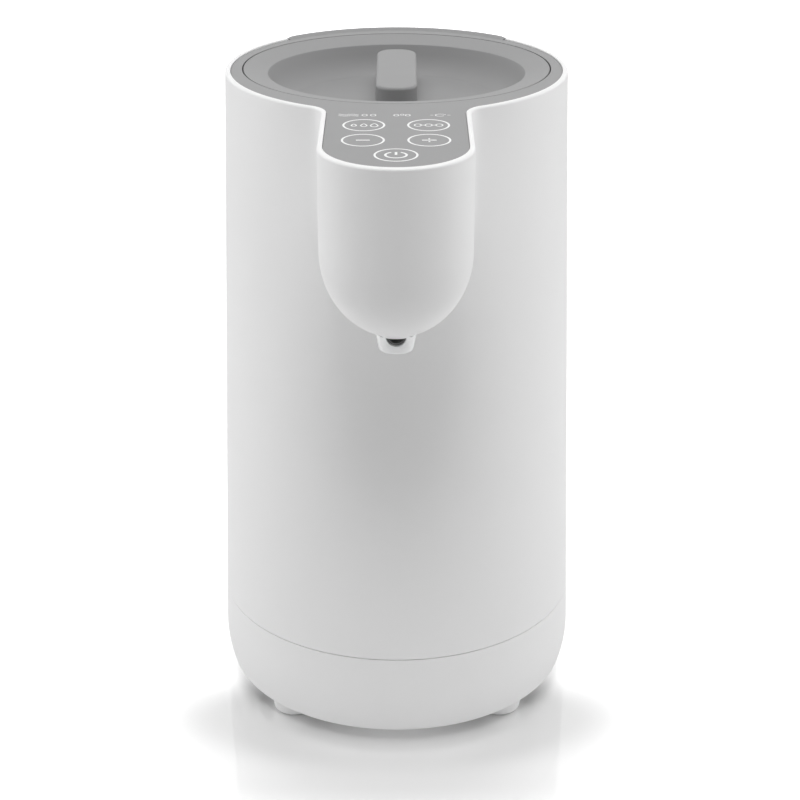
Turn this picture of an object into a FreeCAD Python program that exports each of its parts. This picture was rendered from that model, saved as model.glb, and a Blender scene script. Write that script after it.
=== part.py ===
import FreeCAD, Part
import math
import os

from FreeCAD import Vector

# Formula water warmer with a pumped dispensing head.
# Everything is built about the vertical axis of the body: +Z is up, the floor is at zero and the
# head points to -Y. Each piece is then moved so that the origin is on the floor under the middle of
# the outline seen from above. Lengths are in millimetres and angles in degrees.

# Body shell
rim_height = 294.0
split_height = 45.4
shell_top_radius = 74.2
shell_flare = 7.5
shell_split_radius = shell_top_radius + shell_flare
wall = 2.6
lip_width = 2.3
lip_round = 0.9
seat_width = 2.4
seat_thickness = 2.2
shell_boss_radius = 4.6
shell_boss_height = 24.0
shell_boss_inset = 8.0
rib_thickness = 2.0
shell_boss_angles = (28.0, 152.0, 208.0, 332.0)

# Dispensing head
head_half_width = 30.0
nose_reach = 121.4
dome_start_drop = 41.4
dome_depth = 34.3
head_blend = 9.8

# Base cover
foot_height = 6.0
base_floor = 2.6
base_tuck_height = 20.7
base_tuck_radius = 55.0
base_corner = 3.0
reveal = 0.35
spigot_height = 4.0
spigot_thickness = 1.8
spigot_root = 5.0
post_head_room = 6.0
post_rib_height = 14.0
vent_count = 5
vent_length = 34.0
vent_width = 2.2
vent_pitch = 6.0
vent_centre = 20.0

# Feet
foot_inset = 14.3
foot_radius = 10.2
foot_taper = 1.0
foot_corner = 2.6
foot_stem_radius = 3.0
foot_bulb_radius = 3.9
foot_bulb_height = 1.6
foot_angles = {
    "foot_front_left": 225.0,
    "foot_front_right": 315.0,
    "foot_back_left": 135.0,
    "foot_back_right": 45.0,
}

# Top plate
plate_recess = 0.5
plate_thickness = 2.0
plate_fit = 0.12
panel_side_lip = 2.0
panel_front_lip = 1.4
panel_half_width = head_half_width - panel_side_lip
panel_nose_reach = nose_reach - panel_front_lip
panel_blend = 12.0
tab_half_angle = 43.5
tab_rise = 0.5
tab_slope_width = 3.0
well_depth = 7.3
well_wall = 1.8
mouth_wall = 1.8
mouth_skirt_depth = 17.5

# Lid, an oval about its own centre
lid_centre = 3.2
lid_side_margin = 7.6
lid_end_margin = 12.9
lid_half_width = shell_top_radius - lid_side_margin
lid_half_depth = shell_top_radius - lid_end_margin
lid_gap = 0.5
lid_edge_thickness = 5.3
lid_ledge = 1.8
mouth_radius = lid_half_depth - lid_ledge
dish_side_rim = 10.6
dish_end_rim = 11.7
dish_half_width = lid_half_width - dish_side_rim
dish_half_depth = lid_half_depth - dish_end_rim
dish_edge_drop = 2.3
dish_depth = 14.0
dish_draft = 5.6
dish_wall = 2.0
dish_floor_round = 12.0
lid_edge_round = 0.6

# Lid handle
handle_width = 17.6
handle_end_gap = 14.6
handle_length = 2 * (dish_half_depth - handle_end_gap)
handle_drop = 0.7
handle_corner = 7.6
handle_round = 1.6
handle_screw_spacing = 44.0

# Lid cap and seal
cap_clearance = 0.9
cap_radius = mouth_radius - cap_clearance
cap_wall = 1.8
cap_depth = 15.2
cap_boss_radius = 4.0
gasket_height = 3.0
gasket_bite = 0.9
gasket_gap = 0.3
gasket_drop = 6.0
cap_corner = 1.5

# Water tank
tank_overlap = 3.5
tank_radius = mouth_radius + tank_overlap
tank_wall = 0.8
tank_floor_height = 128.0
tank_corner = 6.0
tank_flange_width = 3.2
tank_flange_radius = tank_radius + tank_flange_width
tank_rim_drop = 12.2
seal_thickness_gap = 0.1

# Tank frame
frame_ledge = 9.0
frame_inner_radius = tank_radius - frame_ledge
frame_deck = 4.0
frame_upstand = 8.0
frame_upstand_wall = 2.0
frame_fit = 0.3
leg_inset = 6.0
leg_ring_radius = tank_radius - leg_inset
leg_radius = 5.5
leg_angles = (20.0, 160.0, 200.0, 340.0)
leg_post_height = 16.0

# Heater and sensors
heater_margin = 24.0
heater_radius = tank_radius - heater_margin
heater_thickness = 4.0
element_margin = 10.0
element_radius = heater_radius - element_margin
element_width = 7.0
element_height = 6.0
element_sweep = 315.0
element_round = 2.2
terminal_radius = 1.6
terminal_length = 9.0
cutout_radius = 8.0
cutout_height = 7.0
cutout_tab_width = 6.3
cutout_tab_thickness = 0.8
cutout_tab_height = 8.0
fitting_inset = 16.5
fitting_ring_radius = tank_radius - fitting_inset
probe_angle = 225.0
probe_radius = 2.0
probe_rise = 12.0
probe_drop = 14.0
grommet_radius = 5.5
grommet_neck_radius = 3.3
grommet_lip = 2.0
running_gap = 0.05

# Tank outlet
outlet_angle = 315.0
outlet_flange_radius = 7.0
outlet_flange_height = 2.0
outlet_neck_radius = 5.0
outlet_spigot_radius = 3.6
outlet_bore_radius = 2.4
outlet_neck_drop = 10.0
outlet_spigot_drop = 24.0
outlet_nut_sides = 6
outlet_nut_flats = 12.0
outlet_nut_height = 5.0
outlet_seal_height = 1.5
hole_gap = 0.2

# Pump, with its axis along X
pump_height = 45.0
pump_front = 8.0
volute_radius = 19.0
volute_depth = 8.6
volute_wall = 2.0
cover_thickness = 3.0
cover_skin = 0.8
eye_radius = 4.6
spider_hub_radius = 2.6
spider_arm = 1.0
spider_arm_count = 3
rotor_can_radius = 9.6
rotor_can_wall = 1.0
rotor_can_length = 20.0
pump_inlet_length = 12.0
pump_outlet_offset = 13.0
pump_outlet_length = 26.0
impeller_radius = 14.0
impeller_disc = 1.6
impeller_hub_radius = 3.0
vane_count = 6
vane_height = 4.0
vane_thickness = 1.2
vane_sweep = 35.0
magnet_gap = 0.8
rotor_end_gap = 0.4
shaft_radius = 1.5
shaft_bite = 1.2
motor_radius = 15.0
motor_cap = 2.5
bracket_length = 14.0
bracket_half_width = 17.0
bracket_top_drop = 6.0
bracket_fit = 0.2
motor_round = 2.2

# Hoses
hose_wall = 1.5
hose_grip = 8.0
hose_standoff = 8.0
hose_rise = 12.0
hose_lean = 26.0
hose_top_drop = 32.0
bend_share = 0.45
clip_width = 4.0
clip_thickness = 0.9
clip_gap = 0.1

# Nozzle
cup_top_radius = 8.3
cup_bottom_radius = 7.1
cup_corner = 2.4
cup_drop = 7.2
cup_wall = 1.2
cup_rise = 4.0
cup_mouth_radius = 3.4
cup_neck_radius = 7.2
cup_neck_wall = 1.3
cup_neck_rise = 6.0
nozzle_hole_gap = 0.15
cup_dome_gap = 0.05
cup_dip_angle = 48.0
cup_dip_radius = 2.2
cup_dip_depth = 1.9
spout_radius = 4.0
spout_bore_radius = 3.2
spout_reach = 5.6
spout_bend = 5.0
spout_rise = 1.4
spout_port_gap = 0.1
bridge_drop = 0.6
spout_joint_length = 13.0

# Touch electronics in the head
board_drop = 7.5
board_thickness = 1.6
board_inset = 4.0
board_back_inset = 81.4
key_column = 12.7
key_row_insets = (60.9, 40.0)
power_key_inset = 20.3
touch_pad_radius = 5.0
board_post_radius = 2.4
board_post_x = 20.5
board_post_insets = (50.9, 28.4)
led_columns = (-15.6, 1.2, 17.4)
led_inset = 77.1
led_width = 4.0
led_depth = 2.4
led_height = 3.0

# Power electronics
power_board_width = 64.0
power_board_height = 66.0
power_board_low = 32.0
power_board_y = 33.0
standoff_length = 2.4
standoff_radius = 2.5
standoff_inset = 4.0
bracket_sheet = 1.6
bracket_flange = 14.0
relay_size = (19.0, 15.0, 15.5)
transformer_size = (26.0, 18.0, 22.0)
capacitor_radius = 6.0
capacitor_length = 18.0
capacitor_count = 2
capacitor_pitch = 18.0

# Appliance inlet in the back of the base
inlet_height = 27.0
inlet_width = 27.8
inlet_tall = 19.8
inlet_cavity_width = 24.0
inlet_cavity_tall = 16.0
inlet_cavity_depth = 16.0
inlet_chamfer = 4.5
inlet_body_depth = 22.0
inlet_setback = 0.4
inlet_gap = 0.15
blade_width = 2.0
blade_tall = 5.0
blade_recess = 6.0
blade_spacing = 7.0
blade_lift = 2.0
blade_tail = 6.0

# Screws
screw_head_radius = 3.0
screw_head_height = 2.0
screw_shank_radius = 1.5
screw_hole_radius = 1.9
screw_pocket_radius = 3.6
base_screw_length = 16.0
frame_screw_length = 14.0
small_head_radius = 2.2
small_head_height = 1.4
small_shank_radius = 1.0
lid_screw_length = 9.0

# Worked out from the sizes above
taper = (shell_split_radius - shell_top_radius) / (rim_height - split_height)
plate_top = rim_height - plate_recess
plate_low = plate_top - plate_thickness
seat_low = plate_low - seat_thickness
base_bottom = foot_height
floor_top = base_bottom + base_floor
dome_start = rim_height - dome_start_drop
dome_bottom = dome_start - dome_depth
rim_inner_radius = shell_top_radius - lip_width
tab_top = rim_height + tab_rise
ledge_top = plate_top - lid_edge_thickness
ledge_low = plate_top - well_depth
skirt_low = plate_top - mouth_skirt_depth
tank_top = plate_top - tank_rim_drop
deck_low = tank_floor_height - frame_deck
post_top = split_height + spigot_height
spout_height = dome_bottom + spout_rise
nose_front = nose_reach + head_half_width
hose_bore_radius = outlet_spigot_radius + running_gap
hose_radius = hose_bore_radius + hose_wall
full_turn = 360.0
half_turn = 180.0
quarter_turn = 90.0
near = 0.01


def shell_radius(height):
    """Outer radius of the tapered body at a height above the floor."""
    return shell_top_radius + (rim_height - height) * taper


base_widest = shell_radius(base_bottom + base_tuck_height)
foot_ring_radius = base_widest - foot_inset
footprint_shift = (nose_front - base_widest) / 2


def export(name, shape):
    """Move a finished piece into the part's frame and write it."""
    placed = shape.copy()
    placed.translate(Vector(0, footprint_shift, 0))
    placed.exportStep("parts/" + name + ".step")


def polar(radius, angle, centre_y=0.0):
    """Point in plan at a radius and an angle about an axis on the Y axis."""
    turn = math.radians(angle)
    return radius * math.cos(turn), centre_y + radius * math.sin(turn)


def disc(radius, low, high, x=0.0, y=0.0):
    """Upright cylinder between two heights."""
    return Part.makeCylinder(radius, high - low, Vector(x, y, low))


def ring(outer, inner, low, high, x=0.0, y=0.0):
    """Upright tube between two heights."""
    return disc(outer, low, high, x, y).cut(disc(inner, low, high, x, y))


def block(x_low, x_high, y_low, y_high, z_low, z_high):
    """Box between two corners."""
    size = (x_high - x_low, y_high - y_low, z_high - z_low)
    return Part.makeBox(size[0], size[1], size[2], Vector(x_low, y_low, z_low))


def oval_wire(half_width, half_depth, height, y):
    """Level ellipse about a point on the Y axis."""
    curve = Part.Ellipse(Vector(0, y, height), half_width, half_depth)
    return Part.Wire([curve.toShape()])


def oval_disc(half_width, half_depth, low, high, y):
    """Upright elliptical cylinder."""
    face = Part.Face(oval_wire(half_width, half_depth, low, y))
    return face.extrude(Vector(0, 0, high - low))


def oval_taper(low_size, low, high_size, high, y):
    """Straight-sided solid between two level ellipses."""
    wires = [oval_wire(low_size[0], low_size[1], low, y), oval_wire(high_size[0], high_size[1], high, y)]
    return Part.makeLoft(wires, True, True)


def turned(points, x=0.0, y=0.0):
    """Solid of revolution from corner points (radius, height) about an upright axis."""
    corners = [Vector(x + radius, y, height) for radius, height in points]
    face = Part.Face(Part.makePolygon(corners + corners[:1]))
    return face.revolve(Vector(x, y, 0), Vector(0, 0, 1), full_turn)


def arc_through(start, middle, end):
    """Edge along the circle through three points."""
    return Part.Arc(start, middle, end).toShape()


def edges_where(shape, test):
    """Edges whose mid point passes a test."""
    chosen = []
    for edge in shape.Edges:
        middle = edge.valueAt((edge.FirstParameter + edge.LastParameter) / 2)
        if test(middle, edge):
            chosen.append(edge)
    return chosen


def level_edges(shape, height):
    """Edges that lie wholly at one height."""

    def at_height(edge):
        return abs(edge.BoundBox.ZMin - height) + abs(edge.BoundBox.ZMax - height) < near

    return [edge for edge in shape.Edges if at_height(edge)]


def plan_wire(offset, height):
    """Keyhole outline of the top: the body circle, two blends and the round-nosed tongue."""
    body = rim_inner_radius + offset
    side = panel_half_width + offset
    blend = panel_blend - offset
    centre_x = panel_half_width + panel_blend
    centre_y = -math.sqrt((rim_inner_radius + panel_blend) ** 2 - centre_x**2)
    reach = math.hypot(centre_x, centre_y)
    touch = Vector(centre_x * body / reach, centre_y * body / reach, height)
    blend_end = Vector(side, centre_y, height)
    nose_start = Vector(side, -panel_nose_reach, height)
    tip = Vector(0, -panel_nose_reach - side, height)
    centre = Vector(centre_x, centre_y, height)
    to_middle = (touch - centre).normalize() + Vector(-1, 0, 0)
    blend_middle = centre + to_middle.normalize() * blend

    def mirror(point):
        return Vector(-point.x, point.y, point.z)

    edges = [
        arc_through(touch, Vector(0, body, height), mirror(touch)),
        arc_through(mirror(touch), mirror(blend_middle), mirror(blend_end)),
        Part.LineSegment(mirror(blend_end), mirror(nose_start)).toShape(),
        arc_through(mirror(nose_start), tip, nose_start),
        Part.LineSegment(nose_start, blend_end).toShape(),
        arc_through(blend_end, blend_middle, touch),
    ]
    return Part.Wire(edges)


def plan_prism(offset, low, high):
    """Upright solid of the keyhole outline."""
    return Part.Face(plan_wire(offset, low)).extrude(Vector(0, 0, high - low))


def head_form(offset, top):
    """Head as a U-shaped channel that ends in an upright round nose with a domed underside."""
    half = head_half_width + offset
    depth = dome_depth + offset
    y = -nose_reach
    pole = Vector(0, y, dome_start - depth)
    side = Vector(half, y, dome_start)
    centre = Vector(0, y, dome_start)
    curve = Part.Ellipse(pole, side, centre)
    corner = Vector(half, y, top)
    far_corner = Vector(-half, y, top)
    far_side = Vector(-half, y, dome_start)
    channel_edges = [
        curve.toShape(-math.pi / 2, math.pi / 2),
        Part.LineSegment(side, corner).toShape(),
        Part.LineSegment(corner, far_corner).toShape(),
        Part.LineSegment(far_corner, far_side).toShape(),
    ]
    channel = Part.Face(Part.Wire(Part.__sortEdges__(channel_edges))).extrude(Vector(0, nose_reach, 0))
    top_centre = Vector(0, y, top)
    nose_edges = [
        curve.toShape(0, math.pi / 2),
        Part.LineSegment(side, corner).toShape(),
        Part.LineSegment(corner, top_centre).toShape(),
        Part.LineSegment(top_centre, pole).toShape(),
    ]
    nose_face = Part.Face(Part.Wire(Part.__sortEdges__(nose_edges)))
    nose = nose_face.revolve(centre, Vector(0, 0, -1), half_turn)
    return channel.fuse(nose).removeSplitter()


def tapered_body(offset, low, high):
    """Round tapered body, its wall moved in or out by an offset."""
    size = (shell_radius(low) + offset, shell_radius(high) + offset, high - low)
    return Part.makeCone(size[0], size[1], size[2], Vector(0, 0, low))


def rear_sector(inner, low, high, half_angle):
    """Part of the tapered body's rim behind the lid, between an inner radius and the outer face."""
    sweep = 2 * half_angle
    wedge = Part.makeCylinder(shell_split_radius, high - low, Vector(0, 0, low), Vector(0, 0, 1), sweep)
    wedge.rotate(Vector(0, 0, 0), Vector(0, 0, 1), quarter_turn - half_angle)
    return wedge.common(tapered_body(0, low, high)).cut(disc(inner, low, high))


def fixing(head_radius, head_height, shank_radius, length, x, y, head_top):
    """Screw driven upwards, its head under the face at head_top."""
    head = disc(head_radius, head_top - head_height, head_top, x, y)
    shank = disc(shank_radius, head_top, head_top + length, x, y)
    return head.fuse(shank).removeSplitter()


def boss_ring():
    """Radius of the circle of bosses that join shell and base."""
    return shell_radius(split_height) - wall - shell_boss_inset


def boss_points():
    """Places of the bosses that join shell and base."""
    return [polar(boss_ring(), angle) for angle in shell_boss_angles]


def radial_rib(inner, outer, low, high, angle):
    """Upright rib along a radius of the body."""
    rib = block(inner, outer, -rib_thickness / 2, rib_thickness / 2, low, high)
    rib.rotate(Vector(0, 0, 0), Vector(0, 0, 1), angle)
    return rib


def outer_shell():
    """White body and head in one moulding, with the lip, the plate seat and the screw bosses."""
    outer = tapered_body(0, split_height, rim_height).fuse(head_form(0, rim_height)).removeSplitter()

    def on_junction(point, edge):
        on_cone = abs(math.hypot(point.x, point.y) - shell_radius(point.z)) < running_gap
        inside_rim = point.z < rim_height - lip_width and point.z > split_height + wall
        return on_cone and inside_rim and point.y < -head_half_width and edge.Length > wall

    outer = outer.makeFillet(head_blend, edges_where(outer, on_junction))
    outer = outer.makeFillet(lip_round, level_edges(outer, rim_height))
    cavity = tapered_body(-wall, split_height, seat_low).fuse(head_form(-wall, seat_low))
    shell = outer.cut(cavity)
    shell = shell.cut(plan_prism(-seat_width, seat_low, plate_low))
    shell = shell.cut(plan_prism(0, plate_low, rim_height))
    notch_radius = rim_inner_radius - seat_width
    shell = shell.cut(rear_sector(notch_radius, plate_low, rim_height, tab_half_angle))
    boss_top = post_top + shell_boss_height
    inside = tapered_body(-wall / 2, post_top, boss_top)
    for angle in shell_boss_angles:
        rib = radial_rib(boss_ring(), shell_split_radius, post_top, boss_top, angle).common(inside)
        shell = shell.fuse(rib)
    for x, y in boss_points():
        shell = shell.fuse(disc(shell_boss_radius, post_top, boss_top, x, y))
    pilot_top = post_top + base_screw_length
    for x, y in boss_points():
        shell = shell.cut(disc(screw_shank_radius + running_gap, post_top, pilot_top, x, y))
    hole_radius = cup_neck_radius + nozzle_hole_gap
    hole = disc(hole_radius, dome_bottom - wall, dome_bottom + cup_neck_rise, 0, -nose_reach)
    return shell.cut(hole).removeSplitter()


def base_profile(offset, top, bottom):
    """Edges of the base's side from its top edge down to its bottom face, and the two end points."""
    start_height = base_bottom + base_tuck_height
    slope = math.atan(taper)
    centre = Vector(
        shell_radius(start_height) - base_tuck_radius * math.cos(slope),
        0,
        start_height - base_tuck_radius * math.sin(slope),
    )
    radius = base_tuck_radius - offset
    low_turn = -math.asin((centre.z - bottom) / radius)

    def on_arc(turn):
        return centre + Vector(radius * math.cos(turn), 0, radius * math.sin(turn))

    upper = Vector(shell_radius(top) - offset, 0, top)
    edges = [
        Part.LineSegment(upper, on_arc(slope)).toShape(),
        arc_through(on_arc(slope), on_arc((slope + low_turn) / 2), on_arc(low_turn)),
    ]
    return edges, upper, on_arc(low_turn)


def base_cover():
    """White bowl that closes the body, with its spigot, posts, vents and inlet opening."""
    top = split_height - reveal
    outer_edges, outer_top, outer_low = base_profile(0, top, base_bottom)
    inner_edges, inner_top, inner_low = base_profile(wall, top, floor_top)
    bottom_centre = Vector(0, 0, base_bottom)
    floor_centre = Vector(0, 0, floor_top)
    edges = outer_edges + inner_edges
    edges.append(Part.LineSegment(outer_low, bottom_centre).toShape())
    edges.append(Part.LineSegment(bottom_centre, floor_centre).toShape())
    edges.append(Part.LineSegment(floor_centre, inner_low).toShape())
    edges.append(Part.LineSegment(inner_top, outer_top).toShape())
    face = Part.Face(Part.Wire(Part.__sortEdges__(edges)))
    bowl = face.revolve(Vector(0, 0, 0), Vector(0, 0, 1), full_turn)
    corner = [edge for edge in level_edges(bowl, base_bottom) if edge.Length > base_widest]
    bowl = bowl.makeFillet(base_corner, corner)
    spigot_radius = shell_radius(post_top) - wall - hole_gap
    spigot = ring(spigot_radius, spigot_radius - spigot_thickness, top - spigot_root, post_top)
    root = ring(shell_radius(top) - wall / 2, spigot_radius - spigot_thickness, top - spigot_root, top)
    bowl = bowl.fuse(spigot).fuse(root)
    for angle in shell_boss_angles:
        rib_end = inner_low.x + wall / 2
        bowl = bowl.fuse(radial_rib(boss_ring(), rib_end, floor_top, floor_top + post_rib_height, angle))
    for x, y in boss_points():
        bowl = bowl.fuse(disc(shell_boss_radius, floor_top, post_top, x, y))
    for angle in leg_angles:
        x, y = polar(leg_ring_radius, angle, lid_centre)
        bowl = bowl.fuse(disc(leg_radius, floor_top, leg_post_height, x, y))
    for x, y in boss_points():
        bowl = bowl.cut(disc(screw_hole_radius, base_bottom, post_top, x, y))
        bowl = bowl.cut(disc(screw_pocket_radius, base_bottom, post_top - post_head_room, x, y))
    for angle in leg_angles:
        x, y = polar(leg_ring_radius, angle, lid_centre)
        bowl = bowl.cut(disc(screw_hole_radius, base_bottom, leg_post_height, x, y))
        bowl = bowl.cut(disc(screw_pocket_radius, base_bottom, leg_post_height - post_head_room, x, y))
    for angle in foot_angles.values():
        x, y = polar(foot_ring_radius, angle)
        bowl = bowl.cut(disc(foot_stem_radius + running_gap, base_bottom, floor_top, x, y))
    for index in range(vent_count):
        x = (index - (vent_count - 1) / 2) * vent_pitch
        half = vent_width / 2
        low_y = vent_centre - vent_length / 2
        slot = block(x - half, x + half, low_y, low_y + vent_length, base_bottom, floor_top)
        bowl = bowl.cut(slot)
    half = inlet_width / 2 + inlet_gap
    tall = inlet_tall / 2 + inlet_gap
    low = inlet_height - tall
    opening = block(-half, half, inlet_back(), base_widest + wall, low, inlet_height + tall)
    return bowl.cut(opening).removeSplitter()


def foot(angle):
    """Round foot with a soft lower corner and a stem that snaps through the base."""
    x, y = polar(foot_ring_radius, angle)
    pad = Part.makeCone(foot_radius - foot_taper, foot_radius, foot_height, Vector(x, y, 0))
    pad = pad.makeFillet(foot_corner, level_edges(pad, 0))
    stem = disc(foot_stem_radius, foot_height, floor_top, x, y)
    bulb = Part.makeCone(foot_bulb_radius, foot_stem_radius, foot_bulb_height, Vector(x, y, floor_top))
    return pad.fuse(stem).fuse(bulb).removeSplitter()


def key_places():
    """Centres of the touch keys: two rows of two, and the power key."""
    places = [(side * key_column, inset - nose_front) for inset in key_row_insets for side in (-1, 1)]
    places.append((0.0, power_key_inset - nose_front))
    return places


def board_post_places():
    """Centres of the posts that carry the touch board."""
    return [(side * board_post_x, inset - nose_front) for inset in board_post_insets for side in (-1, 1)]


def top_plate():
    """Grey plate with the control tongue, rear tab, lid well and the skirt into the tank's mouth."""
    plate = plan_prism(-plate_fit, plate_low, plate_top)
    tab_radius = rim_inner_radius - seat_width
    tab = rear_sector(tab_radius, plate_low, tab_top, tab_half_angle - plate_fit)
    tab = tab.makeFillet(lip_round, outer_rim_edges(tab))
    over_slope = [(tab_radius, plate_top), (tab_radius + tab_slope_width, tab_top), (tab_radius, tab_top)]
    tab = tab.cut(turned(over_slope))
    well_width = lid_half_width + lid_gap
    well_length = lid_half_depth + lid_gap
    well = oval_disc(well_width + well_wall, well_length + well_wall, ledge_low, plate_top, lid_centre)
    skirt = disc(mouth_radius + mouth_wall, skirt_low, plate_top, 0, lid_centre)
    body = plate.fuse(tab).fuse(well).fuse(skirt)
    body = body.cut(oval_disc(well_width, well_length, ledge_top, tab_top, lid_centre))
    body = body.cut(disc(mouth_radius, skirt_low, tab_top, 0, lid_centre))
    for x, y in board_post_places():
        body = body.fuse(disc(board_post_radius, plate_top - board_drop, plate_low, x, y))
    for x, y in board_post_places():
        body = body.cut(disc(small_shank_radius + running_gap, plate_top - board_drop, plate_low, x, y))
    return body.removeSplitter()


def outer_rim_edges(shape):
    """Outer edges of the rear tab at its top."""

    def outside(point, edge):
        at_wall = abs(math.hypot(point.x, point.y) - shell_radius(tab_top)) < near
        return at_wall and tab_top - point.z < near

    return edges_where(shape, outside)


def lid_shell():
    """Oval lid: a rim that slopes down to a sunken dish with a rounded floor."""
    edge_low = plate_top - lid_edge_thickness
    dish_edge = plate_top - dish_edge_drop
    dish_floor = plate_top - dish_depth
    floor_width = dish_half_width - dish_draft
    floor_depth = dish_half_depth - dish_draft
    rim = oval_disc(lid_half_width, lid_half_depth, edge_low, plate_top, lid_centre)
    slope = oval_taper(
        (dish_half_width, dish_half_depth), dish_edge, (lid_half_width, lid_half_depth), plate_top, lid_centre
    )
    under_size = (floor_width + dish_wall, floor_depth + dish_wall)
    wall_size = (dish_half_width + dish_wall, dish_half_depth + dish_wall)
    under = oval_taper(under_size, dish_floor - dish_wall, wall_size, dish_edge, lid_centre)
    hollow = oval_taper(
        (floor_width, floor_depth), dish_floor, (dish_half_width, dish_half_depth), dish_edge, lid_centre
    )
    hollow = hollow.makeFillet(dish_floor_round, level_edges(hollow, dish_floor))
    rim = rim.makeFillet(lid_edge_round, level_edges(rim, edge_low))
    body = rim.fuse(under).cut(slope).cut(hollow)
    for side in (-1, 1):
        y = lid_centre + side * handle_screw_spacing / 2
        body = body.fuse(disc(cap_boss_radius, cap_floor_top(), dish_floor - dish_wall, 0, y))
    for side in (-1, 1):
        y = lid_centre + side * handle_screw_spacing / 2
        body = body.cut(disc(small_shank_radius + running_gap, cap_floor_top(), dish_floor, 0, y))
    return body.removeSplitter()


def lid_handle():
    """Grip bar in the dish, round at its corners and along its top."""
    low = plate_top - dish_depth
    high = plate_top - handle_drop
    half_length = handle_length / 2
    half = handle_width / 2
    bar = block(-half, half, lid_centre - half_length, lid_centre + half_length, low, high)
    upright = [edge for edge in bar.Edges if edge.BoundBox.ZLength > wall]
    bar = bar.makeFillet(handle_corner, upright)
    bar = bar.makeFillet(handle_round, level_edges(bar, high))
    for side in (-1, 1):
        y = lid_centre + side * handle_screw_spacing / 2
        bar = bar.cut(disc(small_shank_radius + running_gap, low, low + lid_screw_length, 0, y))
    return bar


def cap_floor_low():
    """Height of the lid cap's lower face."""
    return plate_top - lid_edge_thickness - cap_depth


def cap_floor_top():
    """Height of the lid cap's inner floor."""
    return cap_floor_low() + cap_wall


def gasket_low():
    """Height of the lower face of the lid's gasket."""
    return plate_top - lid_edge_thickness - gasket_drop - gasket_height


def lid_inner_cap():
    """White cap under the lid that plugs the tank's mouth and carries the gasket."""
    high = plate_top - lid_edge_thickness
    cap = disc(cap_radius, cap_floor_low(), high, 0, lid_centre)
    cap = cap.makeFillet(cap_corner, level_edges(cap, cap_floor_low()))
    cap = cap.cut(disc(cap_radius - cap_wall, cap_floor_top(), high, 0, lid_centre))
    groove_top = gasket_low() + gasket_height
    groove = ring(cap_radius, cap_radius - gasket_bite, gasket_low(), groove_top, 0, lid_centre)
    cap = cap.cut(groove)
    for side in (-1, 1):
        y = lid_centre + side * handle_screw_spacing / 2
        cap = cap.cut(disc(small_shank_radius + running_gap, cap_floor_low(), cap_floor_top(), 0, y))
    return cap


def lid_gasket():
    """Silicone ring in the cap's groove, with a lip that points up."""
    outer = mouth_radius - gasket_gap
    inner = cap_radius - gasket_bite + running_gap
    low = gasket_low()
    middle = low + gasket_height / 2
    high = low + gasket_height
    points = [(inner, low), (cap_radius, low), (outer, middle), (outer, high), (inner, high)]
    return turned(points, 0, lid_centre)


def lid_screws():
    """Two screws from the cap up into the handle."""
    length = lid_screw_length + plate_top - dish_depth - cap_floor_low() - small_head_height
    screws = []
    for side in (-1, 1):
        y = lid_centre + side * handle_screw_spacing / 2
        screws.append(
            fixing(small_head_radius, small_head_height, small_shank_radius, length, 0, y, cap_floor_low())
        )
    return Part.makeCompound(screws)


def fitting_place(angle):
    """Place in plan of a fitting in the tank's floor."""
    return polar(fitting_ring_radius, angle, lid_centre)


def water_tank():
    """Deep-drawn steel tank with a rolled flange and two holes in its floor."""
    base = tank_floor_height

    def can(radius, low, corner):
        form = disc(radius, low, tank_top, 0, lid_centre)
        return form.makeFillet(corner, level_edges(form, low))

    outside = can(tank_radius, base, tank_corner)
    inside = can(tank_radius - tank_wall, base + tank_wall, tank_corner - tank_wall)
    flange = disc(tank_flange_radius, tank_top - tank_wall, tank_top, 0, lid_centre)
    tank = outside.fuse(flange).cut(inside)
    for angle, radius in ((outlet_angle, outlet_neck_radius), (probe_angle, grommet_neck_radius)):
        x, y = fitting_place(angle)
        tank = tank.cut(disc(radius + hole_gap, base, base + tank_wall, x, y))
    return tank


def tank_mouth_seal():
    """Silicone ring between the tank's flange and the top plate's ledge."""
    outer = tank_flange_radius - running_gap
    inner = mouth_radius + mouth_wall + seal_thickness_gap
    limit = lid_half_depth + lid_gap + well_wall
    tall = ring(limit, inner, tank_top, ledge_low, 0, lid_centre)
    foot_ring = ring(outer, inner, tank_top, tank_top + (ledge_low - tank_top) / 2, 0, lid_centre)
    return tall.fuse(foot_ring).removeSplitter()


def tank_frame():
    """Tray under the tank on four legs, each drilled for a screw."""
    inner = frame_inner_radius
    seat_radius = tank_radius + frame_fit
    outer = seat_radius + frame_upstand_wall
    high = tank_floor_height + frame_upstand
    points = [
        (inner, deck_low),
        (outer, deck_low),
        (outer, high),
        (seat_radius, high),
        (seat_radius, tank_floor_height),
        (inner, tank_floor_height),
    ]
    frame = turned(points, 0, lid_centre)
    for angle in leg_angles:
        x, y = polar(leg_ring_radius, angle, lid_centre)
        frame = frame.fuse(disc(leg_radius, leg_post_height, deck_low + frame_deck / 2, x, y))
    for angle in leg_angles:
        x, y = polar(leg_ring_radius, angle, lid_centre)
        pilot_top = leg_post_height + frame_screw_length
        frame = frame.cut(disc(screw_shank_radius + running_gap, leg_post_height, pilot_top, x, y))
    return frame.removeSplitter()


def heater_plate():
    """Aluminium disc against the tank's floor."""
    return disc(heater_radius, tank_floor_height - heater_thickness, tank_floor_height, 0, lid_centre)


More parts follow.
